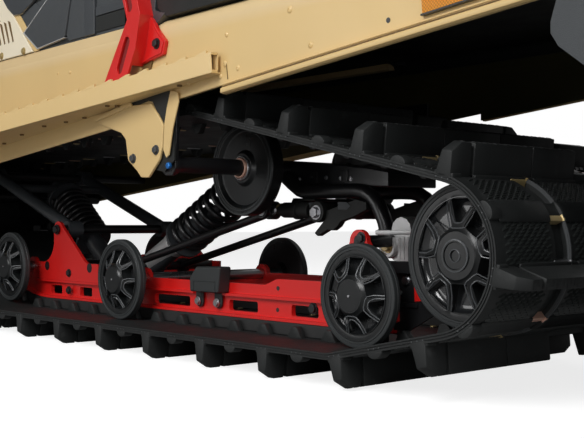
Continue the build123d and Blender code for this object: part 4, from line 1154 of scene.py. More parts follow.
@dataclass
class Wheels(Assembly):
    """Forked wheels with raised ribs, grooved tyres and hub caps.

    Sizes are in millimetres. Places are as ahead of the rear axle and above the belt, with the
    radius.
    """

    width: float = 13.0
    tyre: float = 9.0
    rise: float = 10.0
    fall: float = 2.0
    barrel: float = 8.5
    hub_out: float = 13.0
    hub_share: float = 0.35
    idler: Point = (0, 128, 89)
    idler_face: float = 191.5
    bogies: tuple[Point, ...] = ((179.5, 70.8, 70.5), (771.8, 70.8, 70.5), (1194.3, 81.8, 70.5))
    bogie_face: float = 194.0
    forks: int = 5
    rib: float = 0.9
    rounding: float = 0.9
    rounded: tuple[str, ...] = ("idler_wheels", "bogie_wheels", "carrier_wheels")
    idler_cap: Outline = ((0, -0.5), (6, -0.5), (7, 1), (16, 1), (16.8, 2.4), (18.4, 2.4), (19.2, -0.5), (19.2, -2),
                          (0, -2))
    bogie_cap: Outline = ((0, 0.9), (1.6, 0.7), (2.2, 0.2), (20, 0.2), (20.6, -0.4), (20.6, -2), (0, -2))

    def tyre_ring(self, ahead: float, up: float, radius: float, face: float) -> Piece:
        """Turns one tyre with a rounded tread and a groove in its face.

        Args:
            ahead: The wheel's place along the machine.
            up: Its height.
            radius: Its radius.
            face: Place of its outer face.

        Returns:
            The tyre.
        """
        r, w, inner = radius, self.width, radius - self.tyre
        outline = ((inner, 0), (inner + 2.2, 0), (inner + 2.8, -0.9), (inner + 3.8, -0.9), (inner + 4.4, 0),
                   (r - 2.2, 0), (r - 0.8, -0.5), (r, -2), (r, -w / 2 + 0.8), (r - 0.6, -w / 2), (r, -w / 2 - 0.8),
                   (r, 2.0 - w), (r - 1.4, 0.3 - w), (r - 2.6, -w), (inner, -w))
        return Ring((ahead, face, up), outline, 80).build()

    def reach(self, radius: float) -> Pair:
        """Returns the radii between which one wheel's forks stand."""
        return self.hub_share * radius, radius - self.tyre - 0.3 - self.barrel

    def bowl(self, ahead: float, up: float, radius: float, face: float) -> Piece:
        """Turns the smooth bowl that shows between one wheel's forks.

        Args:
            ahead: The wheel's place along the machine.
            up: Its height.
            radius: Its radius.
            face: Place of its outer face.

        Returns:
            The bowl.
        """
        hub, web = self.reach(radius)
        floor, turns = self.width - 3.6, [math.pi / 2 * i / 8 for i in range(9)]
        curve = [(web - 11.0 * (1 - math.sin(a)), -floor + 9.0 * (1 - math.cos(a))) for a in turns]
        outline = ((hub, -floor), *curve, (web + 0.6, -floor + 9), (web + 0.6, -floor - 0.4), (hub, -floor - 0.4))
        return Ring((ahead, face, up), outline, 64).build()

    def ribs(self, radius: float, face: float, first: float) -> Piece:
        """Models the raised ribs that edge every fork's arms, round the origin.

        Args:
            radius: The wheel's radius.
            face: Place of its outer face.
            first: Angle of its first fork.

        Returns:
            The ribs.
        """
        hub, web = self.reach(radius)
        cap = hub + 0.07 * radius

        def on_arm(r: float, degrees: float) -> Vector:
            """Finds a point on the forks' sloping face.

            Args:
                r: Its distance from the axle.
                degrees: Its turn from the fork's middle.

            Returns:
                The point.
            """
            a = math.radians(degrees)
            share = (r - hub - 1) / (web - hub - 1)
            y = face + self.rise - (self.rise + self.fall) * share
            return Vector((r * math.cos(a) / 1000, y / 1000, r * math.sin(a) / 1000))

        halves = (((web - 1, 20.6), (0.72 * web, 21.8), (hub + 5, 19), (hub + 2.6, 11)),
                  ((web - 1, 16.2), (0.74 * web, 15.4), (cap + 3.4, 9), (cap + 2, 4)))
        made = []
        for half in halves:
            path = [on_arm(r, a) for r, a in half] + [on_arm(r, -a) for r, a in reversed(half)]
            made.append(Bench.tube(path, self.rib / 1000, 2))
        turns = [Matrix.Rotation(-math.radians(first + 360.0 / self.forks * i), 4, "Y") for i in range(self.forks)]
        return Bench.join(Bench.scatter(Bench.join(made), turns))

    def build(self) -> None:
        """Builds the wheels of both sides."""
        wheels = [(*self.idler, self.idler_face), *((*place, self.bogie_face) for place in self.bogies)]
        self.pair("grooved_tyres", "tyre_rubber", [self.tyre_ring(*wheel) for wheel in wheels],
                  replaces=["wheel_tyres"])
        for node in self.rounded:
            self.shop.soften(node, self.rounding)
        x, z, radius = self.idler
        ribs = Bench.scatter(self.ribs(radius, self.idler_face, 90), [Matrix.Translation(spot(x, 0, z))])
        ribs += Bench.scatter(self.ribs(self.bogies[0][2], self.bogie_face, 270),
                              [Matrix.Translation(spot(ahead, 0, up)) for ahead, up, _ in self.bogies])
        # the ribs are painted paler as highlights
        self.pair("wheel_ribs", "ribs", ribs, "wheel_plastic")
        self.pair("wheel_bowls", "bowls", [self.bowl(*wheel) for wheel in wheels], "wheel_plastic")
        cap, hub = self.idler_face + self.hub_out, self.bogie_face + self.hub_out
        self.trim((
            Trim("hub_pins", "steel", tuple(Bar((ahead, hub, up), (ahead, hub + 1.6, up), 1.8, 12, 0.4)
                                            for ahead, up, _ in self.bogies)),
            # cap rings painted paler as highlight lines
            Trim("cap_rings", "ribs", tuple(Ring((x, cap, z), ((low, 0), (high, 0), (high, 1.7), (low, 2.2)))
                                            for low, high in ((18.4, 20.2), (7, 8.2))), "wheel_plastic"),
            Trim("hub_caps", "wheel_plastic", (Ring((x, cap, z), self.idler_cap), *(
                Ring((ahead, hub, up), self.bogie_cap) for ahead, up, _ in self.bogies))),
        ))


@dataclass
class Suspension(Assembly):
    """Springs, shocks, arms, rods, levers and castings.

    Places are as ahead of the rear axle and above the belt, in millimetres. A coil starts and ends
    at a share of its shock's length and some metres further.
    """

    springs: tuple[tuple[str, Outline], ...] = (("rear", ((952, 84), (600, 268))),
                                                ("front", ((1120, 84), (1331, 249.5))))
    coil_start: Pair = (0.3, 0.011)
    coil_end: Pair = (0.87, -0.006)
    spring: float = 34.5
    wire: float = 5.5
    turns: int = 9
    rounding: float = 1.2
    rounded: tuple[str, ...] = ("front_arm", "levers", "rear_shock", "front_shock", "shaft_hangers")
    arm_path: Outline = ((492, 256), (460, 234), (440, 222), (425, 218), (330, 218), (308, 217), (292, 213.5),
                         (278, 206), (267, 195), (259, 182), (253, 170), (249, 157))
    arm_y: float = 60.0
    arm_radius: float = 11.5
    arm_bridge: tuple[Slab | Bar, ...] = (
        Bar((486, -82, 256), (486, 82, 256), 16, 32, 1),
        Slab(((478, 262), (440, 268), (300, 252), (252, 244), (252, 222), (300, 224), (440, 228), (470, 246)),
             -54, 54, 2),
        *(Slab(((x, 250), (x - 14, 250), (x - 14, 232), (x, 232)), 52, 56, 1) for x in (350, 420)))
    arm_bolts: tuple[Bolt, ...] = tuple(
        Bolt(x, 54, z, 2.6, 3) for x, z in ((448, 240), (418, 243), (385, 240), (352, 238), (330, 236)))
    crank_middle: tuple[Slab | Bar, ...] = (
        Bar((380, -66, 187), (380, 66, 187), 12, 28), Bar((446, -66, 200), (446, 66, 200), 9),
        Slab(((452, 209), (400, 207), (400, 203), (452, 204)), -66, 66, 1))
    crank_sides: tuple[Slab | Bar, ...] = (
        Slab(((300, 204), (278, 199), (278, 188), (304, 178), (333, 171), (340, 163), (351, 157), (362, 158),
              (385, 148), (392, 153), (376, 167), (368, 175), (412, 176)), 62, 74, 1.5),
        Bar((380, 70, 186), (380, 81, 186), 16.5, 36, 1.5), Bar((404, 68, 189), (470, 68, 190), 12.5, 28, 2),
        Bar((430, 68, 189), (440, 68, 189), 14.5, 28, 1), Bar((470, 68, 190), (478, 68, 190), 10, 24, 1))
    eye: Outline = ((9.6, 0), (15, 0), (15, 16), (9.6, 16))
    boss: Outline = ((9.3, 0), (17, 0), (17, 18), (15.5, 20), (12, 20), (11, 17), (9.3, 17))
    casting: Outline = ((258, 158), (258, 150), (242, 148), (238, 122), (222, 112), (189, 112), (188, 157),
                        (190, 166), (196.5, 173.5), (207, 177.5), (217, 174.5), (224, 168), (227, 158))
    casting_rim: Outline = ((227, 157), (224, 168), (217, 174.5),
                            (207, 177.5), (196.5, 173.5), (190, 166), (188, 157))
    guard: Outline = ((172, 97), (172, 18), (140, 18), (60, 62), (-18, 108), (-12, 138), (60, 128), (122, 118),
                      (150, 112))
    stop_panel: Four = (587, 529, 59.5, 75.5)
    shaft: Pair = (486, 256)

    def coil(self, foot: Pair, top: Pair) -> Piece:
        """Winds the spring between a shock's seats.

        Args:
            foot: The shock's lower eye.
            top: Its upper eye.

        Returns:
            The spring.
        """
        start, end = spot(foot[0], 0, foot[1]), spot(top[0], 0, top[1])
        span = end - start
        along = span.normalized()
        first, last = (start + span * share + along * more for share, more in (self.coil_start, self.coil_end))
        return Bench.coil(first, last, self.spring / 1000, self.wire / 1000, self.turns)

    def build_arms(self) -> None:
        """Bends the rear arm's tubes round their bridge and models the crank block with its rods."""
        deliver = self.shop.deliver
        path = [spot(x, self.arm_y, z) for x, z in self.arm_path]
        left = [Bench.tube(path, self.arm_radius / 1000, 6)]
        bridge = [part.build() for part in self.arm_bridge]
        deliver([*Bench.mirrored(left), *bridge], "rear_arm_tubes", "black_metal", replaces=["rear_arm"])
        deliver([bolt.build() for bolt in self.arm_bolts], "rear_arm_bolts", "steel")
        middle = [part.build() for part in self.crank_middle]
        sides = Bench.mirrored([part.build() for part in self.crank_sides])
        deliver(middle + sides, "crank_housing", "black_and_shade", "black_metal", ["crank_block"])
        self.trim((
            Trim("crank_pads", "dark_plastic", (
                Slab(((404, 201), (388, 201), (386, 193), (402, 192)), 73, 75.2, 1),
                Slab(((338, 201), (318, 200), (310, 194), (318, 188), (338, 189)), 73, 75.2, 1))),
            Trim("crank_bolts", "steel", (Bolt(380, 81, 185, 8.5, 7), Bolt(487, 76, 190, 6)),
                 replaces=("crank_pins",)),
            Trim("pull_rods_round", "black_metal", (
                Bar((484, 68, 191), (944, 68, 85.5), 7.2, 20, 0.8), Ring((500, 60, 190), self.eye, 32),
                Ring((952, 64, 84), self.eye, 32)), replaces=("pull_rods",)),
            Trim("rod_sockets", "bronze", (Bar((474, 68, 193), (483, 68, 191), 8.8, 20, 1),), "steel"),
        ))

    def build_rail_ends(self) -> None:
        """Models the bright castings, the black plates on the rails' rear ends, which stand for an adjuster plate
        and paint the shade on the red tails, and the rails' bolts.
        """
        self.trim((
            Trim("cast_brackets", "cast_metal", (
                Slab(self.casting, 45, 72, 2.2), Slab(self.casting_rim, 70, 75, 1.5),
                Slab(((258, 158), (188, 158), (188, 152), (258, 151)), 44, 76, 1.5),
                Slab(((216, 152), (188, 152), (188, 112), (216, 112)), 68, 74, 1.8),
                *(Slab(((x, 148), (x - 1.6, 148), (x - 1.6, 116), (x, 116)), 73, 75.4) for x in (211, 203, 195)),
                Ring((231, 60, 134), self.boss, 40)), replaces=("pivot_castings",)),
            Trim("casting_bolts", "brass", (Bolt(231, 77, 134, 7, 8),), "steel"),
            Trim("casting_screws", "steel", (Bolt(244, 76, 136, 4, 6, 16),)),
            # black plates: partly an adjuster plate, partly painted shade over the red rail tails
            Trim("rail_end_plates_and_shade", "black_metal", (
                Slab(self.guard, 140.8, 145, 1),
                Slab(((168, 117), (108, 117), (108, 101), (168, 100)), 144, 153, 1.5),
                Slab(((164, 62), (112, 62), (112, 56), (164, 56)), 144, 148, 1))),
            Trim("rail_guard_windows", "red_metal", (
                Slab(((119, 84), (106, 84), (104, 66), (118, 64)), 144.5, 145.6),
                Slab(((149, 50), (146, 50), (145, 36), (151, 34)), 144.5, 149, 1),
                Slab(((166, 27), (156, 27), (158, 19), (166, 19)), 144.5, 146))),
            Trim("rail_guard_screws", "steel", (Bolt(133, 145, 91, 5.4, 4, 20), Bolt(144, 145, 75, 2.6, 5, 8))),
            Trim("rail_bolts", "black_metal", (
                Bolt(222, 140.5, 147, 6.5), Bolt(321, 140.5, 43, 6.5, 5, 20), Bolt(1030, 147, 72, 6, 4.5),
                Bolt(1030, 147, 38, 6, 4.5), Bolt(1074, 150, 158, 7.5, 6))),
            # dark discs paint the shade seen through holes in the rails
            Trim("rail_holes", "slider_plastic", tuple(Bar((x, 140, z), (x, 141, z), 3.4, 16)
                                                       for x, z in ((401, 69), (402, 36)))),
            Trim("bump_stop_bolts", "steel", tuple(Bolt(x, 148, z, 5.4, 4, 20) for x, z in ((597, 40), (546, 39)))),
        ))

    def build_shafts(self) -> None:
        """Adds the shock's bright body, the bump stops' panels and the rings on the tunnel's shaft."""
        bodies = (Bar((950, 0, 92), (870, 0, 131), 23.5, 36, 2), Bar((880, 0, 126), (868, 0, 132), 25.5, 36, 1))
        self.shop.deliver([body.build() for body in bodies], "shock_bodies", "cast_metal", "grey_metal")
        front, rear, low, high = self.stop_panel
        x, z = self.shaft
        rims = [Ring((x, 143.6, z), ((near, 0), (far, 0),
                                     (far, 0.8), (far - 0.6, 1.4), (near + 0.6, 1.4), (near, 0.8)), 64)
                for near, far in ((66, 68.5), (71.5, 75.4))]
        rings = [Ring((x, 143.5, z), ((near, 0), (far, 0),
                                      (far, rise), (far - 0.8, rise + 1), (near + 0.8, rise + 1), (near, rise)))
                 for near, far, rise in ((13, 16.2, 5.5), (17.4, 19.6, 2.5), (16, 17.4, 1))]
        self.trim((
            Trim("bump_stop_panels", "tyre_rubber", (
                *(Slab(((front, up), (rear, up), (rear, up - 1.4), (front, up - 1.4)), 164, 166, 0.4)
                  for up in (high, low)),
                *(Slab(((at, high), (at - 1.4, high), (at - 1.4, low - 1.4), (at, low - 1.4)), 164, 166, 0.4)
                  for at in (front, rear)))),
            Trim("shaft_sleeves", "black_metal", (Bar((x, 148, z + 1), (x, 282, z + 1), 12.5, 28, 1),
                                                  Bar((x, 272, z + 1), (x, 280, z + 1), 17, 28, 1))),
            Trim("hub_rings_copper", "copper", (rings[0],), "steel"),
            Trim("hub_rings_steel", "steel", tuple(rings[1:])),
            Trim("carrier_rims", "tyre_rubber", tuple(rims), "wheel_plastic"),
        ))

    def build(self) -> None:
        """Builds the springs, rounds the arms' edges and adds everything between the rails."""
        for name, (foot, top) in self.springs:
            self.shop.deliver([self.coil(foot, top)], f"{name}_coil", "black_metal", replaces=[f"{name}_spring"])
        for node in self.rounded:
            self.shop.soften(node, self.rounding)
        self.build_arms()
        self.build_rail_ends()
        self.build_shafts()


@dataclass
class Chassis(Assembly):
    """Tunnel, boards, braces, rails and the pieces fixed to them, in millimetres."""

    rounded: tuple[tuple[str, float], ...] = (
        ("tunnel", 1.6), ("running_boards", 1), ("board_tubes", 1.8), ("struts", 1.4), ("drop_brackets", 1.6),
        ("rails", 1), ("sliders", 1.5), ("gussets", 1.4), ("bump_stops", 4), ("seat_base", 3),
        ("side_covers", 1.6), ("rear_cap", 6), ("hitch", 1.5), ("front_bulkhead", 1.2))
    drop: float = 0.089
    hem_start: float = 337.0
    hem_rise: float = 348.0
    hem_end: float = -205.0
    wall: float = 287.0
    board_rear: float = 352.0
    board_tube: float = 30.0
    flare: float = 0.103
    tube_out: float = 305.3
    first_tooth: float = 876.0
    tooth_pitch: float = 42.8
    tooth: float = 3.2
    board_bolts: Outline = ((998, 300), (899, 314), (807, 319), (759, 304), (712, 296), (610, 314), (604, 300),
                            (437, 298))
    tube_rivets: tuple[Four, ...] = (
        (343, 287, 390, 4.4), (354, 287, 374, 4), (422, 292.3, 371, 3.4))
    wall_rivets: tuple[Point, ...] = (
        (314, 381, 4.2), (166, 393, 4.2), (206, 444, 4.6), (339, 430, 3.4), (818, 430, 2.4), (776, 427, 3.2))
    floors: tuple[Four, ...] = ((566, 427, -62, 60), (560, 534, 72, 90))
    roof: Outline = ((280.6, 448), (280.6, 459), (275, 468.6), (265, 472.8))
    roof_inside: Outline = ((264.5, 471.2), (274, 467), (279, 458.5), (279, 448))
    # front and rear ends of the dark plates that paint the shade inside the tunnel
    black_and_shade: Pair = (1780, -330)

    def tube_y(self, ahead: float) -> float:
        """Returns the y of the edge tube's outer face at one place along it."""
        return self.tube_out + self.flare * (ahead - self.board_rear)

    def hem_up(self, ahead: float) -> float:
        """Returns the height of the wall's lower edge at one place along it."""
        return self.hem_rise - self.drop * (ahead - self.hem_start)

    def deck_up(self, ahead: float) -> float:
        """Returns the height of the running board's underside at one place along it."""
        return self.hem_up(self.board_rear) + self.board_tube - self.drop * (ahead - self.board_rear)

    def rivet(self, ahead: float, y: float, up: float, radius: float) -> Ring:
        """Shapes a low round rivet on a wall.

        Args:
            ahead: Millimetres ahead of the rear wheels' axle.
            y: The wall's place in millimetres.
            up: Millimetres above the belt.
            radius: Its radius in millimetres.

        Returns:
            The rivet.
        """
        return Ring((ahead, y - 0.4, up), ((0, 0), (radius, 0), (radius, 0.9), (0.7 * radius, 1.9),
                                           (0.3 * radius, 2.2), (0.25 * radius, 1.5), (0, 1.4)), 20)

    def build_tubes(self) -> None:
        """Adds the gripping teeth on the boards' edge tubes, the frames of their open ends with a painted shade in
        their hollows, and their bolts.
        """
        teeth = []
        for number in range(-9, 13):
            foot = self.first_tooth - number * self.tooth_pitch
            corners = ((foot - 1, -2), (foot - 1, self.tooth),
                       (foot + 6, self.tooth), (foot + 21, 0.4), (foot + 21, -2))
            teeth.append(Bench.plate([spot(x, self.tube_y(x) + 0.2, self.deck_up(x) + self.board_tube + h)
                                      for x, h in corners], Vector((0, -0.0034, 0)), 0.0004))
        rear, low = self.board_rear, self.deck_up(self.board_rear)
        high = low + self.board_tube
        back = rear - 1.2
        frame = [Slab(((rear + 8, low + 0.5), (back, low + 0.6), (back, low + 5), (rear + 8, low + 5)),
                      292.6, 305, 0.5)]
        for bottom, top, left in ((high - 4, high - 0.6, 305), (low + 1, high - 1, 294.4)):
            frame.append(Slab(((rear + 8, bottom), (back, bottom), (back, top), (rear + 8, top)), 292.6, left, 0.5))
        frame += [self.rivet(*rivet) for rivet in self.tube_rivets]
        self.pair("tube_teeth", "tan_metal", teeth + [part.build() for part in frame])
        # dark plate inside the tube's open end paints the shade in its hollow
        hollow = Slab(((rear + 9, low + 4), (rear + 7, low + 4), (rear + 7, high - 4), (rear + 9, high - 4)),
                      293.6, 303.4)
        # bolt heads under the boards in the tan of painted shade
        heads = (Bar((x, y, self.deck_up(x) + 0.5), (x, y, self.deck_up(x) - 2.4), 4.2, 6, 0.5)
                 for x, y in self.board_bolts)
        self.trim((Trim("tube_hollows", "tube_hollow_shade", (hollow,), "tan_metal"),
                   Trim("board_bolts", "shaded_tan", tuple(heads), "tan_metal")))

    def hem_strip(self, low: float, high: float, out: float) -> Slab:
        """Shapes one strip that runs along the wall's lower edge.

        Args:
            low: Its lower side above the wall's edge.
            high: Its upper side.
            out: How far it stands out of the wall.

        Returns:
            The strip.
        """
        front, rear = self.hem_start + 7, self.hem_end
        corners = ((front, self.hem_up(front) + low), (rear, self.hem_up(rear) + low),
                   (rear, self.hem_up(rear) + high), (front, self.hem_up(front) + high))
        return Slab(corners, 291, 292.0 + out, min(out, 0.5 * (high - low)) * 0.9)

    def build_walls(self) -> None:
        """Adds the walls' hems and rivets, and the drop brackets' flanges, bolts and the dark plates that paint the
        shade in their gaps.
        """
        beads = (self.hem_strip(0.6, 8.6, 4), self.hem_strip(11.8, 14.2, 1.6))
        seam = Slab(((340.2, 391), (338.8, 391), (335.4, 368), (336.8, 368)), 286.5, 287.7)
        self.trim((
            Trim("hem_beads", "tan_metal", beads),
            # a dark strip paints the shade in the hem's groove; the seam is a dark joint
            Trim("hem_grooves", "shaded_tan", (self.hem_strip(9.4, 11.2, 0.7), seam), "tan_metal"),
            Trim("wall_rivets", "tan_metal", tuple(self.rivet(x, self.wall, z, r) for x, z, r in self.wall_rivets)),
            # black disc paints the shade seen through a hole in the wall; the slab is the reflector's dark frame
            Trim("wall_holes", "black_metal", (
                Bar((31, 286.5, 404), (31, 287.6, 404), 3.2, 20),
                Slab(((-24, 402), (-135.5, 412), (-135.5, 409.6), (-24, 399.6)), 287, 293.5, 0.5))),
            Trim("bracket_flanges", "tan_metal", (
                Slab(((680, 334), (681, 340), (576, 359), (570, 351)), 291.5, 295.8, 1.6),
                Slab(((470, 366), (452, 361), (449, 347), (464, 310), (474, 270), (481, 266), (489, 278),
                      (486, 318), (480, 340)), 289, 291.4, 0.8))),
            # dark plates paint the shade in the gaps round the drop brackets
            Trim("bracket_gaps", "black_and_shade", (
                Slab(((580, 358), (571, 350), (532, 356), (519, 353), (508, 338), (494, 327), (487, 314),
                      (489, 279), (481, 276), (480, 318), (473, 345), (471, 365), (500, 365), (540, 362)), 288,
                      290),
                Slab(((520, 300), (466, 312), (466, 262), (492, 246), (520, 250)), 284, 286.8)), "black_metal"),
            Trim("bracket_bolts", "grey_metal", (Bolt(569, 292.3, 269, 5.6), Bolt(506, 292.3, 279, 5.6))),
            Trim("bracket_bolt_ends", "blue", (Bar((475, 287.4, 254), (475, 294, 254), 5.2, 24, 2.2),), "steel"),
        ))

    def slot_floor(self, x: float, z: float, turn: float, length: float) -> Slab:
        """Shapes the floor of one slot in a red brace.

        Args:
            x: The slot's middle along the machine.
            z: Its height.
            turn: Its angle in degrees.
            length: Its length.

        Returns:
            The floor.
        """
        along = Vector((math.cos(math.radians(turn)), math.sin(math.radians(turn))))
        side = Vector((-along.y, along.x))
        corners = [Vector((x, z)) + along * a * (length / 2 + 3) + side * b * 10.5
                   for a, b in ((-1, -1), (1, -1), (1, 1), (-1, 1))]
        return Slab(tuple((corner.x, corner.y) for corner in corners), 305.5, 308.9)

    def build_braces(self) -> None:
        """Closes the red braces' slots with floors in a darker red that paints their shade, and bolts the braces to
        the walls.
        """
        self.trim((
            # slot floors in a darker red that paints the shade inside the slots
            Trim("brace_floors", "red_in_shade", tuple(self.slot_floor(*slot) for slot in self.floors), "red_metal"),
            Trim("brace_rims", "red_metal", (
                Slab(((545, 412.5), (522, 418), (490, 423), (484, 439), (503, 457), (513, 471), (506, 457),
                      (490, 439), (494, 427), (523, 421.5)), 293, 295, 0.7),)),
            Trim("brace_bolts", "black_metal", (Bolt(503, 293.3, 439, 6.2, 5.5),)),
            Trim("brace_tabs", "tan_metal", (
                Slab(((566, 399), (568, 408), (557, 414), (548, 408), (552, 397)), 287.2, 293, 0.6),)),
            # painted shade in the gap under the brace's lobe
            Trim("brace_gaps", "shaded_tan", (
                Slab(((549, 399), (546, 413), (520, 417), (526, 404), (538, 396)), 287.2, 289.6),), "tan_metal"),
        ))

    def build_seat_sides(self) -> None:
        """Layers the moulded panels and bars on the seat base's sides, with pale strips that paint the highlights
        on their edges and dark plates that paint the shade in their gaps.
        """
        self.trim((
            Trim("seat_panels", "dark_plastic", (
                Slab(((936, 516), (886, 482), (800, 487), (787, 490), (768, 552), (757, 600), (834, 600),
                      (834, 572)), 285.5, 291.5, 1.6),
                Slab(((955, 551), (928, 524), (905, 527), (862, 546), (900, 566)), 285.5, 288, 1),
                Slab(((778, 481), (727, 481), (727, 602), (757, 602), (768, 556), (786, 492)), 285.5, 288.4, 1)),
                 angle=25),
            Trim("seat_mouldings", "grey_metal", (
                Slab(((1030, 600), (1000, 570), (975, 554), (944, 552), (905, 565), (846, 596), (850, 602)),
                     285.5, 294, 4),
                Slab(((724, 480.5), (690, 480.5), (690, 602), (724, 602)), 285.5, 290.6, 1.2),
                Slab(((687, 509), (600, 509), (600, 523), (687, 524)), 283, 290, 1),
                Slab(((560, 478.5), (620, 600), (516, 600), (512, 520), (516, 492), (488, 484), (519, 466),
                      (540, 470)), 262, 288.6, 1.5)), "dark_plastic", angle=25),
            # pale strips paint the highlights on the panels' edges
            Trim("seat_edge_highlights", "cast_metal", tuple(Slab(edge, 285.8, 292.3, 0.4) for edge in (
                ((937, 517.5), (886, 483.6), (884.5, 481.4), (885, 480.6), (938.5, 516)),
                ((886, 481.8), (787, 488.4), (787, 487), (886, 480.2)),
                ((936, 517.5), (832, 572.6), (832, 570.6), (935.5, 515.6)))), "dark_plastic"),
            # dark plates paint the shade in the gaps between the seat's panels
            Trim("seat_gaps", "black_and_shade", (
                Slab(((905, 566), (834, 572), (834, 602), (846, 602)), 285.4, 286.6),
                Slab(((688, 483), (600, 483), (600, 508), (688, 508)), 284.8, 288.4),
                Slab(((884, 480.4), (778, 480.4), (778, 488), (800, 486)), 285.4, 286.4),
                Slab(((510, 494), (487, 478.6), (300, 478.4), (300, 480.6), (420, 492), (480, 510), (514, 524)),
                     262, 287.4, 1)), "dark_plastic"),
        ))

    def build_covers(self) -> None:
        """Adds the covers' slots and thick edges, painted in shade, and their bolts."""
        # dark slots paint the shade inside the covers' louvres
        slots = [Slab(((x, 549), (x - 4, 541), (x - 20, 506), (x - 24, 508), (x - 10, 545)), 289.8, 290.7)
                 for x in (1037 - 17 * n for n in range(-3, 3))]
        vent = Slab(((1085, 575), (1050, 575), (1034, 552), (1064, 552)), 289.8, 290.7)
        bolts = tuple(Bolt(x, 290.2, z, 5, 3.6, 20) for x, z in ((939, 484), (1028, 486), (1150, 486), (1150, 590)))
        # tan plate paints the shade on the cream cover's thick rear edge
        edge = Slab(((1029, 602), (903, 478.3), (884, 478.3), (1007, 602)), 286.3, 288.9, 0.8)
        self.trim((Trim("cover_slots", "shaded_tan", (*slots, vent), "cream_plastic"),
                   Trim("cover_bolts", "bronze", bolts, "steel"),
                   Trim("cover_edge_shade", "tan_metal", (edge,), "cream_plastic")))

    def build_inner_shade(self) -> None:
        """Paints the shade inside the tunnel with dark plates under its roof and along its walls, the wall plates
        ribbed.
        """
        front, rear = self.black_and_shade
        profile = [*self.roof, *((-y, z) for y, z in reversed(self.roof)),
                   *((-y, z) for y, z in reversed(self.roof_inside)), *self.roof_inside]
        roof = Bench.plate([spot(rear, y, z) for y, z in profile], Vector(((front - rear) / 1000, 0, 0)))
        wall = Slab(((front, 449), (rear, 449), (rear, self.hem_up(rear) + 2), (346, self.hem_up(346) + 2),
                     (346, self.hem_up(346) + 14), (front, self.hem_up(front) + 2)), 281.4, 282.8)
        ribs = (Slab(((front, up), (rear, up), (rear, up - 6), (front, up - 6)),
                     280, 281.6, 0.6) for up in (440, 424))
        # olive plates paint the shade on the tunnel's inner walls
        self.trim((Trim("tunnel_wall_shade", "tan_wall_in_shade", (wall, *ribs), "tan_metal"),))
        # dark plate under the tunnel's roof paints the shade inside it
        self.shop.deliver([roof], "tunnel_roof_shade", "black_and_shade", "tan_metal")

    def build(self) -> None:
        """Rounds the main pieces' edges and adds the pieces fixed to them."""
        for node, width in self.rounded:
            piece = self.shop.soften(node, width)
            if node == "tunnel":
                # the tunnel takes the paint with the painted highlight on its shoulder
                piece.data.materials[0] = self.shop.finishes["tunnel"]
        # the shoulder strip also carries the painted shoulder highlight
        skirt = Slab(((1250, 478.2), (563, 478.2), (548, 470), (548, 460), (1250, 460)), 258, 286.6, 1.5)
        self.trim((Trim("tunnel_shoulders", "tunnel", (skirt,), "tan_metal"),))
        self.build_tubes()
        self.build_walls()
        self.build_braces()
        self.build_seat_sides()
        self.build_covers()
        self.build_inner_shade()


@dataclass(frozen=True)
class Lamp:
    """Soft square lamp: where it hangs, what it faces, the length of its side and its watts."""

    name: str
    place: Point
    aim: Point
    size: float
    power: float

    def build(self) -> None:
        """Hangs the lamp."""
        bpy.ops.object.light_add(type="AREA", location=self.place)
        lamp = bpy.context.object
        lamp.name = self.name
        lamp.data.size = self.size
        lamp.data.energy = self.power
        lamp.rotation_euler = (Vector(self.aim) - Vector(self.place)).to_track_quat("-Z", "Y").to_euler()


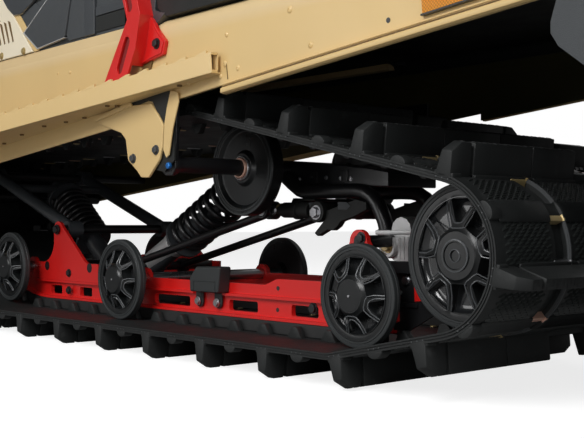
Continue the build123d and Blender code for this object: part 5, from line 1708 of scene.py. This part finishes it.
@dataclass
class Studio:
    """Floor, lamps, world and camera.

    The camera's place and angles were fitted to the photograph, and its focal length is in
    pixels of a picture 584 wide.
    """

    camera_place: Point = (-1.4916, 1.1686, 0.2112)
    camera_turn: Point = (90.42, 0.07, -131.3)
    focal_px: float = 1035.62
    width_px: float = 584.0
    sensor_mm: float = 36.0
    floor_size: float = 60.0
    floor_seen: float = 0.42
    floor_bounce: float = 0.34
    floor_glow: float = 0.80
    sky: float = 0.09
    lamps: tuple[Lamp, ...] = (
        Lamp("key_lamp", (-1.2, 3.2, 2.6), (0.0, 0.0, 0.35), 2.0, 112.0),
        Lamp("rear_lamp", (-3.6, 0.9, 1.3), (-0.4, 0.2, 0.2), 1.4, 20.0),
        Lamp("fill_lamp", (1.5, 3.0, 0.9), (0.3, 0.0, 0.2), 1.5, 16.0),
        Lamp("far_lamp", (0.5, -3.4, 2.4), (0.0, 0.0, 0.3), 2.2, 18.0),
        Lamp("low_lamp", (-2.9, 1.9, 0.30), (-0.75, 0.25, 0.12), 0.9, 8.0))

    def place_camera(self) -> None:
        """Adds the camera and makes it the scene's own."""
        bpy.ops.object.camera_add(location=self.camera_place, rotation=[math.radians(a) for a in self.camera_turn])
        camera = bpy.context.object
        camera.name = "camera"
        camera.data.sensor_width = self.sensor_mm
        camera.data.lens = self.focal_px / self.width_px * self.sensor_mm
        camera.data.clip_start = 0.05
        camera.data.clip_end = 200.0
        bpy.context.scene.camera = camera

    def backdrop_finish(self) -> bpy.types.Material:
        """Makes the floor's finish, which the camera sees as white with a soft shadow.

        Returns:
            The finished material.
        """
        graph = Graph("white_floor")
        seen = graph.node("ShaderNodeLightPath")
        eye = graph.maths("MAXIMUM", seen.outputs["Is Camera Ray"], seen.outputs["Is Transmission Ray"])
        matt = graph.node("ShaderNodeBsdfDiffuse", Color=(*[self.floor_seen] * 3, 1.0))
        dull = graph.node("ShaderNodeBsdfDiffuse", Color=(*[self.floor_bounce] * 3, 1.0))
        glow = graph.node("ShaderNodeEmission", Color=WHITE, Strength=self.floor_glow)
        lit = graph.node("ShaderNodeAddShader", i0=matt.outputs[0], i1=glow.outputs[0])
        mixed = graph.node("ShaderNodeMixShader", i0=eye, i1=dull.outputs[0], i2=lit.outputs[0])
        graph.tree.links.new(mixed.outputs[0], graph.output.inputs["Surface"])
        return graph.material

    def lay_floor(self) -> None:
        """Adds the floor."""
        bpy.ops.mesh.primitive_plane_add(size=self.floor_size, location=(0.0, 0.0, 0.0))
        floor = bpy.context.object
        floor.name = "floor"
        floor.data.materials.append(self.backdrop_finish())

    def light_world(self) -> None:
        """Sets a dim even sky that the camera sees as white."""
        world = bpy.data.worlds.new("studio")
        bpy.context.scene.world = world
        world.use_nodes = True
        tree = world.node_tree
        tree.nodes.clear()
        seen = tree.nodes.new("ShaderNodeLightPath")
        strength = tree.nodes.new("ShaderNodeMapRange")
        strength.inputs["To Min"].default_value = self.sky
        strength.inputs["To Max"].default_value = 1.0
        sky = tree.nodes.new("ShaderNodeBackground")
        sky.inputs["Color"].default_value = WHITE
        output = tree.nodes.new("ShaderNodeOutputWorld")
        tree.links.new(seen.outputs["Is Camera Ray"], strength.inputs["Value"])
        tree.links.new(strength.outputs["Result"], sky.inputs["Strength"])
        tree.links.new(sky.outputs[0], output.inputs["Surface"])

    def build(self) -> None:
        """Sets up the whole studio."""
        self.place_camera()
        self.lay_floor()
        for lamp in self.lamps:
            lamp.build()
        self.light_world()
        bpy.context.scene.view_settings.view_transform = "Standard"


def main() -> None:
    """Builds the scene."""
    logging.basicConfig(level=logging.INFO, format="%(message)s")
    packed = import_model()
    shop = Shop(packed, {finish.slot: finish.build() for finish in FINISHES})
    shop.dress_nodes()
    for assembly in (Track(shop), Wheels(shop), Suspension(shop), Chassis(shop)):
        assembly.build()
        log.info("built %s", type(assembly).__name__)
    Studio().build()


if __name__ == "__main__":
    main()
